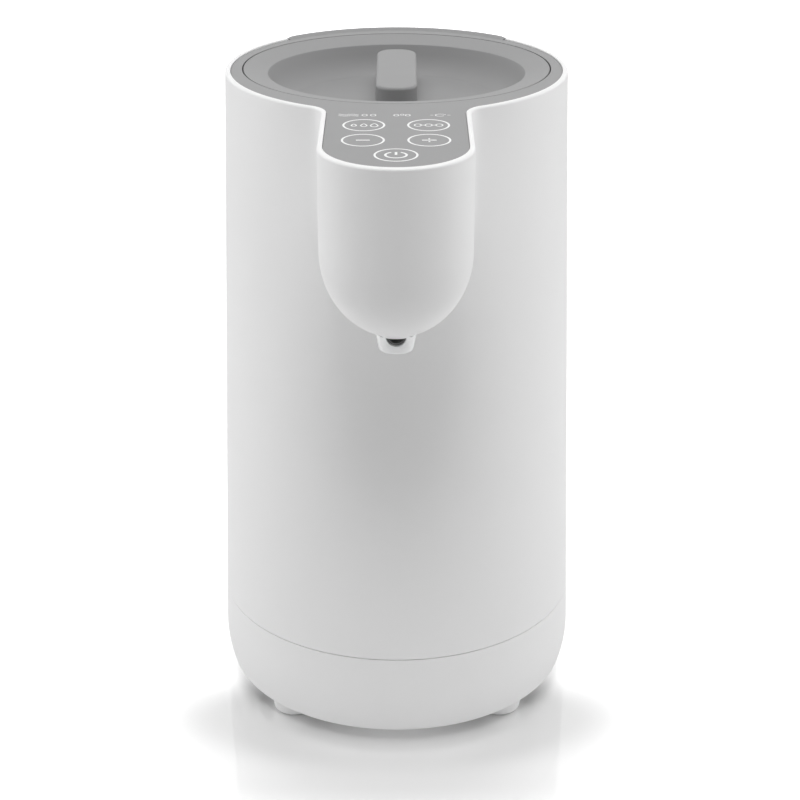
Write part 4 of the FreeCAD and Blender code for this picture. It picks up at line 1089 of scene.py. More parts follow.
@dataclass(frozen=True)
class BaseCover:
    """White bowl under the body, with its feet."""

    shell: OuterShell
    bottom: float = 6.0
    floor: float = 2.6
    floor_disc: float = 20.0
    tuck_height: float = 20.7
    tuck_radius: float = 55.0
    corner: float = 3.0
    top: float = 45.05
    spigot_top: float = 49.4
    spigot_root: float = 40.05
    spigot_radius: float = 78.78
    spigot_wall: float = 1.8
    edge_round: float = 0.3
    pocket_radius: float = 3.6
    screw_radius: float = 1.9
    posts: tuple[ScrewPosts, ...] = (
        ScrewPosts(71.1, 0.0, (28.0, 152.0, 208.0, 332.0), 4.6, 43.4, 49.4),
        ScrewPosts(57.0, 3.2, (20.0, 160.0, 200.0, 340.0), 5.5, 10.0, 16.0),
    )
    vent_count: int = 5
    vent_size: Pair = (2.2, 34.0)
    vent_pitch: float = 6.0
    vent_centre: float = 20.0
    inlet_height: float = 27.0
    inlet_opening: Triple = (28.1, 40.0, 20.1)
    inlet_back: float = 58.68
    foot_ring: float = 67.96
    foot_radius: float = 10.2
    foot_low_radius: float = 9.2
    foot_corner: float = 2.6
    stem_radius: float = 3.0
    feet: tuple[tuple[str, float], ...] = (
        ("foot_front_left", 225.0),
        ("foot_front_right", 315.0),
        ("foot_back_left", 135.0),
        ("foot_back_right", 45.0),
    )
    columns: int = 256

    def side(self, offset: float, top: float, bottom: float) -> np.ndarray:
        """Profile of the bowl's side at an offset inward.

        It runs down the taper to the start of the tuck and on along a circle that touches it.

        Args:
            offset: Distance inward from the outer face.
            top: Height of its upper end.
            bottom: Height of its lower end.

        Returns:
            Rows of radius and height.
        """
        start = self.bottom + self.tuck_height
        slope = math.atan(self.shell.taper)
        centre_r = self.shell.body_radius(start) - self.tuck_radius * math.cos(slope)
        centre_z = start - self.tuck_radius * math.sin(slope)
        radius = self.tuck_radius - offset
        turns = np.linspace(slope, -math.asin((centre_z - bottom) / radius), 40)
        arc = np.array((centre_r, centre_z)) + polar(radius, turns)
        heights = np.linspace(top, start, 10)[:-1]
        upper = np.interp(heights, (start, top), (arc[0, 0], self.shell.body_radius(top) - offset))
        return np.concatenate((np.column_stack((upper, heights)), arc))

    def bowl_profile(self) -> np.ndarray:
        """Whole profile of the bowl from the middle of its underside round to its inner floor.

        Returns:
            Rows of radius and height.
        """
        outer = self.side(0.0, self.top - self.edge_round, self.bottom)[::-1]
        edge = outer[outer[:, 1] > self.bottom + self.corner * 0.7]
        virtual = self.side(0.0, self.top, self.bottom)[-1]
        low = rounded_path(((0.0, self.bottom), virtual, edge[0]), (0, self.corner, 0), 8)[1:-1]
        lip = [
            (edge[-1, 0] - self.edge_round * inset, edge[-1, 1] + self.edge_round * (1 - drop))
            for inset, drop in quarter_round(5)[1:]
        ]
        inside = self.spigot_radius - self.spigot_wall
        spigot = (
            (self.spigot_radius, self.top),
            (self.spigot_radius, self.spigot_top - self.edge_round),
            (self.spigot_radius - self.edge_round, self.spigot_top),
            (inside, self.spigot_top),
            (inside, self.spigot_root),
        )
        floor = self.bottom + self.floor
        inner = self.side(self.shell.wall, self.spigot_root, floor)
        start, end = (((self.floor_disc, height),) for height in (self.bottom, floor))
        return np.concatenate((start, low, edge, lip, spigot, inner, end))

    def cutters(self) -> Skin:
        """Screw pockets, screw holes, vents, foot holes and the inlet's opening.

        Returns:
            One surface that holds them all.
        """
        low = self.bottom - 1
        cuts = []
        for row in self.posts:
            shape = (
                (self.pocket_radius, low),
                (self.pocket_radius, row.pocket_top),
                (self.screw_radius, row.pocket_top),
                (self.screw_radius, row.top + 1),
            )
            cuts += row.spread(revolved(shape, (0, 0, 0, 0), Ends.FANS, 40))
        hole = rod(self.stem_radius + 0.05, low, self.bottom + self.floor + 1, 40)
        cuts += [hole.carried(self.foot_ring, angle) for _, angle in self.feet]
        middle = (0.0, self.vent_centre, self.bottom + self.floor / 2)
        vent = brick((*self.vent_size, self.floor + 2), middle)
        first = (1 - self.vent_count) / 2
        cuts += [vent.moved((first + index) * self.vent_pitch) for index in range(self.vent_count)]
        inlet = (0.0, self.inlet_back + self.inlet_opening[1] / 2, self.inlet_height)
        return joined([*cuts, brick(self.inlet_opening, inlet)])

    def build_bowl(self) -> None:
        """Build and dress the bowl."""
        rings = oval_rings(self.bowl_profile()[:, [0, 0, 1]], 0.0, self.columns)
        bowl = new_object("base_bowl", loft(rings, Ends.FANS))
        low = self.bottom + self.floor / 2
        posts = [row.spread(rod(row.radius, low, row.top, 40)) for row in self.posts]
        combine(bowl, joined(sum(posts, [])), Change.ADD)
        combine(bowl, self.cutters(), Change.CUT)
        dress_piece(bowl, "white_plastic", Body.HOUSING, "base_cover")

    def build_feet(self) -> None:
        """Build and dress the four rubber feet."""
        high = self.bottom + self.floor
        corners = (
            (1.5, 0.6),
            (4.6, 0.6),
            (5.2, 0.0),
            (self.foot_low_radius, 0.0),
            (self.foot_radius, self.bottom),
            (self.stem_radius, self.bottom),
            (self.stem_radius, high),
            (self.stem_radius + 0.9, high),
            (self.stem_radius, high + 1.6),
            (0.6, high + 1.6),
        )
        radii = (0, 0.3, 0.3, self.foot_corner, 0.3, 0, 0, 0.2, 0.2, 0)
        skin = revolved(corners, radii, Ends.FANS, 72, 6)
        for node, angle in self.feet:
            foot = new_object("rubber_" + node, skin.carried(self.foot_ring, angle))
            dress_piece(foot, "foot_rubber", Body.HOUSING, node)

    def build(self) -> None:
        """Build the bowl and its four feet."""
        self.build_feet()
        self.build_bowl()


# Top


def oval_reach(
    angles: np.ndarray, half_width: float, half_depth: float, centre_y: float
) -> np.ndarray:
    """Distance from the axis to an oval along each angle.

    It is the positive root of (t cos / a)^2 + ((t sin - c) / b)^2 = 1.

    Args:
        angles: Directions about the axis, in radians.
        half_width: Half size along X.
        half_depth: Half size along Y.
        centre_y: Place of the oval's centre on the Y axis.

    Returns:
        The distances.
    """
    square = (np.cos(angles) / half_width) ** 2 + (np.sin(angles) / half_depth) ** 2
    half_linear = np.sin(angles) * centre_y / half_depth**2
    constant = (centre_y / half_depth) ** 2 - 1
    return (half_linear + np.sqrt(half_linear**2 - square * constant)) / square


@dataclass(frozen=True)
class TopPlate:
    """Grey plate with the control tongue, the rear tab and the lid's well."""

    shell: OuterShell
    top: float = 293.5
    low: float = 291.5
    tab_top: float = 294.5
    fit: float = 0.12
    low_step: float = 0.01
    edge_round: float = 0.3
    edge_land: float = 1.2
    edge_step: float = 0.1
    tab_half_angle: float = 43.38
    tab_round: float = 0.9
    tab_inner: float = 69.5
    tab_slope: float = 3.0
    tab_ramp: float = 3.0
    well: Pair = (67.1, 61.8)
    well_wall: float = 1.8
    well_round: float = 0.25
    centre: float = 3.2
    ledge_top: float = 288.2
    ledge_low: float = 286.2
    mouth: Pair = (59.5, 59.5)
    mouth_wall: float = 1.8
    mouth_round: float = 0.4
    skirt_low: float = 276.0
    columns: int = 420

    def skin(self) -> Skin:
        """Closed surface of the plate, from its underside out over the top and down the well.

        Each ring is a distance from the axis along every column's direction: the outline's, the
        tapered body's at the tab, or an oval's at the well and the mouth. The tab's height falls
        along a cosine to the rim's height at its two ends.

        Returns:
            The surface.
        """

        def rim(turns: np.ndarray) -> np.ndarray:
            """Rows of x and y of the plate's own outline."""
            return polar(self.shell.inner_outline.reach(turns, -self.fit), turns)

        angles = spread_columns(rim, self.columns, self.tab_half_angle)
        from_back = np.abs(np.degrees(angles) - 90)
        tab = from_back < self.tab_half_angle
        inward = np.clip((self.tab_half_angle - from_back) / self.tab_ramp, 0, 1)
        rise = self.tab_top - self.shell.rim_height
        crest = self.tab_top - rise * (1 + np.cos(inward * math.pi)) / 2
        top = np.where(tab, crest, self.top)
        rounding = np.where(tab, self.tab_round, self.edge_round)
        edge = self.shell.inner_outline.reach(angles, -self.fit)
        rows = []

        def add(reach: np.ndarray, height: object) -> None:
            """Add a ring at a distance from the axis and a height."""
            rows.append(raised(polar(reach, angles), height))

        def add_oval(size: Pair, grown: float, height: float) -> None:
            """Add an oval about the lid's centre, grown all round."""
            add(oval_reach(angles, size[0] + grown, size[1] + grown, self.centre), height)

        add_oval(self.well, self.well_wall, self.low)
        add(np.where(tab, self.shell.body_radius(self.low), edge), self.low + self.low_step)
        side = np.where(tab, self.shell.body_radius(self.tab_top - self.tab_round), edge)
        for inset, drop in quarter_round(6):
            add(side - rounding * inset, top - rounding * drop)
        for index, share in enumerate(np.linspace(1, 0, 7)):
            land = edge - self.edge_land - self.edge_step * index
            reach = np.where(tab, self.tab_inner + self.tab_slope * share, land)
            add(reach, self.top + (top - self.top) * (1 - math.cos(share * math.pi)) / 2)
        for drop, grown in quarter_round(5):
            add_oval(self.well, self.well_round * grown, self.top - self.well_round * drop)
        add_oval(self.well, 0.0, self.ledge_top)
        for drop, grown in quarter_round(4):
            add_oval(self.mouth, self.mouth_round * grown, self.ledge_top - self.mouth_round * drop)
        add_oval(self.mouth, 0.0, self.skirt_low)
        add_oval(self.mouth, self.mouth_wall, self.skirt_low)
        add_oval(self.mouth, self.mouth_wall, self.ledge_low)
        add_oval(self.well, self.well_wall, self.ledge_low)
        return loft(rows, Ends.LOOP)

    def build(self) -> None:
        """Build and dress the plate."""
        plate = new_object("control_plate", self.skin())
        dress_piece(plate, "grey_plastic", Body.HOUSING, "top_plate")


@dataclass(frozen=True)
class PanelMarks:
    """Printed marks of the touch keys: rings with plain pictograms and three small ones behind."""

    low: float = 293.505
    high: float = 293.53
    ring_radius: float = 8.0
    ring_line: float = 0.42
    sign_line: float = 0.27
    small_line: float = 0.2
    wave_size: Pair = (8.0, 0.4)
    wave_line: float = 0.17
    column: float = 12.7
    rows: Pair = (90.5, 111.4)
    power_row: float = 131.1
    light_row: float = 76.0

    def stroke(self, path: np.ndarray, half_width: float, closed: bool = False) -> Skin:
        """Return one printed line."""
        return ribbon(path, half_width, self.low, self.high, closed)

    def line(self, start: Pair, end: Pair, half_width: float) -> Skin:
        """Return a straight printed line."""
        return self.stroke(np.linspace(start, end, 3), half_width)

    def arc(
        self, middle: Pair, size: Pair, half_width: float, start: float = 0.0, end: float = 360.0
    ) -> Skin:
        """Oval line, drawn from one angle to another.

        Args:
            middle: Its centre.
            size: Its half sizes.
            half_width: Half of the line's width.
            start: First angle in degrees.
            end: Last angle in degrees.

        Returns:
            The line, closed on itself where it makes a full turn.
        """
        full = end - start >= 360
        turns = np.radians(np.linspace(start, end, 73)[: 72 if full else 73])
        return self.stroke(np.array(middle) + np.array(size) * polar(1.0, turns), half_width, full)

    def drop(self, x: float, y: float, size: float) -> Skin:
        """Outline of a water drop, its point to the back.

        Its half width at an angle is the sine times the sine of half the angle.

        Args:
            x: Place across.
            y: Place along.
            size: Half of its length.

        Returns:
            The line.
        """
        turns = circle_angles(48) + FULL_TURN / 96
        wide = size * 0.78 * np.sin(turns) * np.sin(turns / 2)
        path = np.column_stack((x + wide, y + size * np.cos(turns)))
        return self.stroke(path, self.sign_line, True)

    def wave(self, x: float, y: float) -> Skin:
        """Return a wavy line across: a sine of one and a half waves."""
        along = np.linspace(-0.5, 0.5, 40)
        width, height = self.wave_size
        path = np.column_stack((x + along * width, y + height * np.sin(along * 3 * math.pi)))
        return self.stroke(path, self.wave_line)

    def keys(self) -> list[Skin]:
        """Rings of the five keys with drops, linked rings, minus, plus and the power sign.

        Returns:
            Their lines.
        """
        left, right = -self.column, self.column
        back, front, power = -self.rows[0], -self.rows[1], -self.power_row
        places = ((left, back), (right, back), (left, front), (right, front), (0.0, power))
        lines = [self.arc(place, (self.ring_radius,) * 2, self.ring_line) for place in places]
        drops = ((-3.9, 1.6), (0.0, 2.0), (4.1, 2.4))
        lines += [self.drop(left + x, back, size) for x, size in drops]
        links = [(right + x, back) for x in (-4.2, 0.0, 4.2)]
        lines += [self.arc(place, (1.35, 1.7), self.sign_line) for place in links]
        bars = [right + x for x in (-2.7, 1.5)]
        lines += [self.line((x, back), (x + 1.2, back), 0.34) for x in bars]
        return lines + [
            self.line((left - 2.65, front), (left + 2.65, front), 0.55),
            self.line((right - 2.8, front), (right + 2.8, front), 0.55),
            self.line((right, front - 2.6), (right, front + 2.6), 0.34),
            self.arc((0.0, power), (4.0, 3.75), 0.46, 117, 423),
            self.line((0.0, power + 0.1), (0.0, power + 3.8), 0.5),
        ]

    def lights(self) -> list[Skin]:
        """Small marks behind the keys: gentle heat, bubbles and a round arrow.

        Returns:
            Their lines.
        """
        y, thin = -self.light_row, self.small_line
        waves = [self.wave(-19.0, y + shift) for shift in (-1.2, 0.0, 1.2)]
        ovals = (
            ((-12.6, y), (1.05, 1.3), thin),
            ((-9.2, y), (1.05, 1.3), thin),
            ((0.0, y - 0.1), (0.95, 1.25), thin),
            ((2.4, y + 0.5), (0.7, 0.9), 0.18),
            ((4.6, y - 0.1), (0.95, 1.25), thin),
            ((17.4, y), (1.8, 1.6), thin, 60, 330),
        )
        bars = (
            ((18.2, y + 1.6), (19.8, y + 0.8)),
            ((13.6, y), (14.8, y)),
            ((20.4, y), (21.6, y)),
        )
        arcs = [self.arc(*oval) for oval in ovals]
        return waves + arcs + [self.line(*bar, thin) for bar in bars]

    def build(self) -> None:
        """Build and dress the marks."""
        for name, lines in (("key_marks", self.keys()), ("light_marks", self.lights())):
            dress_piece(new_object(name, joined(lines)), "ink", Body.HOUSING)


@dataclass(frozen=True)
class Lid:
    """Oval grey lid with its sunken dish and grip bar, and the cap that plugs the tank."""

    centre: float = 3.2
    half: Pair = (66.6, 61.3)
    top: float = 293.5
    edge_low: float = 288.2
    dish_edge: Triple = (56.0, 49.6, 291.2)
    dish_floor: Triple = (50.4, 44.0, 279.5)
    dish_wall: float = 2.0
    floor_round: float = 18.0
    edge_round: float = 0.5
    handle_half: Pair = (8.8, 34.6)
    handle_top: float = 292.8
    handle_corner: float = 7.6
    handle_round: float = 1.2
    cap_radius: float = 58.6
    cap_low: float = 273.0
    cap_wall: float = 1.8
    cap_disc: float = 10.0
    groove_depth: float = 0.9
    groove_play: float = 0.05
    gasket_low: float = 279.2
    gasket_high: float = 282.2
    gasket_radius: float = 59.2
    columns: int = 320
    cap_columns: int = 200

    def finish(self, name: str, skin: Skin, slot: str, node: str) -> None:
        """Make and dress one of the lid's pieces, moved to the lid's centre."""
        dress_piece(new_object(name, skin.moved(y=self.centre)), slot, Body.LID, node)

    def build_shell(self) -> None:
        """Build and dress the lid's oval moulding.

        Its profile runs from the middle of the underside out to the rim, over it and down to the
        middle of the dish, as half width, half depth and height, with every corner rounded.
        """
        floor, edge = np.array(self.dish_floor), np.array(self.dish_edge)
        low = floor + (edge - floor) * (self.edge_low - floor[2]) / (edge[2] - floor[2])
        wall, middle = self.dish_wall, (12.0, 10.0)
        corners = (
            (*middle, floor[2] - wall),
            floor + (wall, wall, -wall),
            low + (wall, wall, 0.0),
            (*self.half, self.edge_low),
            (*self.half, self.top),
            edge,
            floor,
            (*middle, floor[2]),
        )
        radii = (0, 2.0, 0.5, 0.6, self.edge_round, 1.0, self.floor_round, 0)
        rings = oval_rings(rounded_path(corners, radii, 8), 0.0, self.columns)
        self.finish("lid_top", loft(rings, Ends.FANS), "grey_plastic", "lid_shell")

    def build_handle(self) -> None:
        """Build and dress the grip bar.

        Each level is a rectangle with round corners, and the top levels step inward by one minus
        the cosine while they rise by the sine of the top rounding.
        """
        signs = np.array(((-1, -1), (1, -1), (1, 1), (-1, 1)))
        levels = [(0.0, self.dish_floor[2])]
        for inset, drop in quarter_round(7):
            levels.append((self.handle_round * inset, self.handle_top - self.handle_round * drop))
        rings = []
        for step, height in levels:
            corners = signs * (np.array(self.handle_half) - step)
            outline = rounded_path(corners, (self.handle_corner - step,) * 4, 14, True)
            rings.append(raised(outline, height))
        self.finish("grip_bar", loft(rings, Ends.FANS), "grey_plastic", "lid_handle")

    def build_cap(self) -> None:
        """Build and dress the cap under the lid and its silicone ring."""
        radius = self.cap_radius
        inside, groove = radius - self.cap_wall, radius - self.groove_depth
        floor = self.cap_low + self.cap_wall
        corners = (
            (self.cap_disc, self.cap_low),
            (radius, self.cap_low),
            (radius, self.gasket_low),
            (groove, self.gasket_low),
            (groove, self.gasket_high),
            (radius, self.gasket_high),
            (radius, self.edge_low),
            (inside, self.edge_low),
            (inside, floor),
            (self.cap_disc, floor),
        )
        radii = (0, 1.5, 0.15, 0.1, 0.1, 0.15, 0.2, 0.2, 0.8, 0)
        cap = revolved(corners, radii, Ends.FANS, self.cap_columns)
        self.finish("tank_plug", cap, "cap_plastic", "lid_inner_cap")
        inner = groove + self.groove_play
        lip = (
            (inner, self.gasket_low),
            (radius, self.gasket_low),
            (self.gasket_radius, (self.gasket_low + self.gasket_high) / 2),
            (self.gasket_radius, self.gasket_high),
            (inner, self.gasket_high),
        )
        seal = revolved(lip, (0.1, 0.2, 0.3, 0.2, 0.1), Ends.LOOP, self.cap_columns)
        self.finish("plug_seal", seal, "silicone", "lid_gasket")

    def build(self) -> None:
        """Build the whole lid."""
        self.build_shell()
        self.build_handle()
        self.build_cap()


# Nozzle


def along_y(outline: np.ndarray, start: float, end: float) -> Skin:
    """Return a prism along the Y axis from an outline of x and z."""
    return loft([np.insert(outline, 1, y, axis=1) for y in (start, end)], Ends.FANS)


@dataclass(frozen=True)
class Nozzle:
    """Cup under the head with the silicone elbow whose end shows in its port."""

    shell: OuterShell
    low: float = 211.1
    dome_gap: float = 0.06
    top_radius: float = 8.3
    side_slope: float = 0.2
    corner: float = 1.3
    corner_top: float = 216.0
    squash: float = 0.2
    wall: float = 1.2
    rim_round: float = 0.35
    mouth: float = 3.4
    neck: Pair = (7.2, 5.9)
    neck_top: float = 224.3
    neck_raise: float = 2.0
    dip_depth: float = 1.15
    dip_angle: float = 47.5
    dip_half: float = 17.0
    port_radius: float = 4.1
    port_height: float = 219.3
    port_depths: Pair = (12.0, 5.0)
    bridge_low: float = 218.65
    tube: Pair = (4.0, 3.2)
    tube_bend: float = 5.0
    tube_front: float = -127.0
    tube_top: float = 237.1
    tube_rim: float = 0.15
    columns: int = 360

    @property
    def axis(self) -> float:
        """Place of the nose's upright axis along Y."""
        return -self.shell.nose_reach

    def side_radius(self, height: object) -> object:
        """Radius of the cup's outside at a height."""
        contact = self.shell.dome_height(self.top_radius)
        return self.top_radius - (contact - height) * self.side_slope

    def rim_drop(self, angles: np.ndarray) -> np.ndarray:
        """Depth of the rim's two finger dips at each angle.

        A dip is a squared cosine of the angle from its middle, zero past its half width.

        Args:
            angles: Directions about the nose's axis, in radians.

        Returns:
            The drops.
        """
        from_front = np.degrees(np.abs(np.arctan2(np.cos(angles), -np.sin(angles))))
        offset = np.clip((from_front - self.dip_angle) / self.dip_half, -1, 1)
        return self.dip_depth * np.cos(offset * math.pi / 2) ** 2

    def cup_skin(self) -> Skin:
        """Closed surface of the cup.

        A column runs up the outside to the rim, which follows the head's underside less the dips,
        over it, down the inside to the floor and out through the mouth. Toward the bottom the plan
        turns from a circle to an oval, its depth shrinking with the square root of the drop.

        Returns:
            The surface.
        """
        angles = circle_angles(self.columns)
        top = self.shell.dome_height(self.top_radius)
        shoulder = top - self.dome_gap - self.rim_drop(angles) - self.rim_round
        base = self.side_radius(self.low)
        side = (self.side_radius(self.corner_top), self.corner_top)
        foot = ((self.mouth + 1.0, self.low), (base, self.low), side)
        rows = list(rounded_path(foot, (0, self.corner, 0), 9)[:-1])
        start = rows[-1][1]
        for share in np.linspace(0, 1, 12)[1:]:
            height = start + (shoulder - start) * share
            rows.append((self.side_radius(height), height))
        outer = self.side_radius(shoulder)
        for turn in np.linspace(0, math.pi, 9)[1:]:
            inset = self.wall * (1 - math.cos(turn)) / 2
            rows.append((outer - inset, shoulder + self.rim_round * math.sin(turn)))
        floor, inner = self.low + self.wall, base - self.wall
        for share in np.linspace(0, 1, 10)[1:-1]:
            radius = outer - self.wall + (base - outer) * share
            rows.append((radius, shoulder + (floor + 1.5 - shoulder) * share))
        rows += [
            (inner - 0.6, floor + 0.5),
            (inner - 1.6, floor),
            (self.mouth + 0.2, floor),
            (self.mouth, floor - 0.2),
            (self.mouth, self.low + 0.3),
            (self.mouth + 0.3, self.low),
        ]
        rings = []
        for reach, height in rows:
            flat = 1 - self.squash * np.sqrt(np.clip((top - height) / (top - self.low), 0, 1))
            ring = polar(reach, angles)
            ring[:, 1] *= flat
            rings.append(raised(ring, height))
        return loft(rings, Ends.LOOP).moved(y=self.axis)

    def port_cutter(self) -> Skin:
        """Half-round cutter of the port: a circle cut off level under the bridge.

        Returns:
            The surface.
        """
        limit = math.acos((self.port_height - self.bridge_low) / self.port_radius)
        outline = polar(self.port_radius, np.linspace(-limit, limit, 65) - math.pi / 2)
        outline = np.concatenate((outline, np.linspace(outline[-1], outline[0], 17)[1:-1]))
        front, back = (self.axis - depth for depth in self.port_depths)
        return along_y(outline + (0.0, self.port_height), front, back)

    def neck_cutter(self) -> Skin:
        """Return the round cutter that lets the spout's end through the neck."""
        outline = polar(self.port_radius, circle_angles(64)) + (0.0, self.port_height)
        return along_y(outline, self.axis - self.neck[0] - 1.0, self.axis)

    def build_cup(self) -> None:
        """Build and dress the cup, with the neck that snaps into the head."""
        outer, inner = self.neck
        low = self.low + self.wall + self.neck_raise
        corners = ((outer, low), (outer, self.neck_top), (inner, self.neck_top), (inner, low))
        neck = revolved(corners, (0.2, 0.3, 0.2, 0.2), Ends.LOOP, 128)
        cup = new_object("pouring_cup", neck.moved(y=self.axis))
        combine(cup, self.neck_cutter(), Change.CUT)
        combine(cup, self.cup_skin(), Change.ADD)
        combine(cup, self.port_cutter(), Change.CUT)
        dress_piece(cup, "clear_plastic", Body.HOUSING, "nozzle_cup")

    def build_tube(self) -> None:
        """Build and dress the silicone elbow.

        Its middle line drops along the nose's axis, turns forward on a quarter circle and ends in
        the port.
        """
        bend = [
            (self.axis - self.tube_bend * inset, self.port_height + self.tube_bend * drop)
            for inset, drop in quarter_round(16)
        ]
        top = ((self.axis, self.tube_top), (self.axis, self.port_height + self.tube_bend + 0.5))
        path = np.array((*top, *bend, (self.tube_front + self.tube_rim, self.port_height)))
        tube = new_object("outlet_elbow", pipe(path, *self.tube, self.tube_rim, 64))
        dress_piece(tube, "dark_rubber", Body.HOUSING, "outlet_tube")

    def build(self) -> None:
        """Build the cup and its elbow."""
        self.build_cup()
        self.build_tube()


# Works inside


@dataclass(frozen=True)
class Tank:
    """Deep-drawn steel tank."""

    centre: float = 3.2
    radius: float = 63.0
    wall: float = 0.8
    low: float = 128.0
    floor_disc: float = 8.0
    corner: float = 6.0
    top: float = 281.3
    flange: float = 66.2
    fitting_ring: float = 46.5
    holes: tuple[Pair, ...] = ((315.0, 5.2), (225.0, 3.5))

    def build(self) -> None:
        """Build and dress the tank."""
        inner = self.radius - self.wall
        floor, brim = self.low + self.wall, self.top - self.wall
        corners = (
            (self.floor_disc, self.low),
            (self.radius, self.low),
            (self.radius, brim),
            (self.flange, brim),
            (self.flange, self.top),
            (inner, self.top),
            (inner, floor),
            (self.floor_disc, floor),
        )
        radii = (0, self.corner, 0.5, 0.3, 0.3, 1.2, self.corner - self.wall, 0)
        skin = revolved(corners, radii, Ends.FANS, 200, 8).moved(y=self.centre)
        tank = new_object("steel_tank", skin)
        cuts = [
            rod(radius, self.low - 2, floor + 2).carried(self.fitting_ring, angle, self.centre)
            for angle, radius in self.holes
        ]
        combine(tank, joined(cuts), Change.CUT)
        dress_piece(tank, "tank_steel", Body.HOUSING, "water_tank")


@dataclass(frozen=True)
class Works:
    """Pieces of the frame that keep their own solids and only get a finish."""

    slots: tuple[tuple[str, tuple[str, ...]], ...] = (
        ("silicone", ("tank_mouth_seal", "outlet_seal", "probe_grommet")),
        ("frame_plastic", ("tank_frame", "pump_bracket", "outlet_fitting", "outlet_nut")),
        ("aluminium", ("heater_plate",)),
        ("steel", ("heating_element", "temperature_probe", "rotor_shaft", "hose_clips")),
        ("steel", ("lid_screws", "panel_screws", "base_screws", "frame_screws", "board_bracket")),
        ("dark_plastic", ("thermal_cutout", "pump_cover", "pump_housing", "pump_motor")),
        ("dark_plastic", ("power_inlet", "board_parts")),
        ("cap_plastic", ("pump_rotor", "indicator_leds")),
        ("hose_silicone", ("suction_hose", "delivery_hose")),
        ("dark_rubber", ("touch_pads",)),
        ("brass", ("inlet_blades",)),
        ("circuit_board", ("touch_board", "power_board")),
    )

    def dress(self) -> int:
        """Give every kept node its material.

        Returns:
            How many were dressed.
        """
        for slot, nodes in self.slots:
            for node in nodes:
                paint(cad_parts[node].data, slot)
                log.info("%s: frame solid in %s", node, slot)
        return sum(len(nodes) for _, nodes in self.slots)


# Studio


@dataclass(frozen=True)
class SoftLamp:
    """Rectangular lamp that points at the body's axis.

    Its azimuth is counted from the front to the right and its elevation from the floor, both in
    degrees. Distance, size and the height that it aims at are in metres, and its power in watts.
    """

    name: str
    azimuth: float
    elevation: float
    distance: float
    size: Pair
    power: float
    aim: float = 0.16

    def build(self) -> None:
        """Add the lamp, hidden from reflections so that its edge doesn't show on the body."""
        light = bpy.data.lights.new(self.name, "AREA")
        light.shape = "RECTANGLE"
        light.size, light.size_y = self.size
        light.energy = self.power
        turn, rise = math.radians(self.azimuth), math.radians(self.elevation)
        flat = math.cos(rise)
        away = Vector((math.sin(turn) * flat, -math.cos(turn) * flat, math.sin(rise)))
        lamp = bpy.data.objects.new(self.name, light)
        lamp.location = Vector((0.0, body_axis().y, self.aim)) + away * self.distance
        lamp.rotation_euler = away.to_track_quat("Z", "Y").to_euler()
        lamp.visible_glossy = False
        lamp.visible_camera = False
        bpy.context.scene.collection.objects.link(lamp)


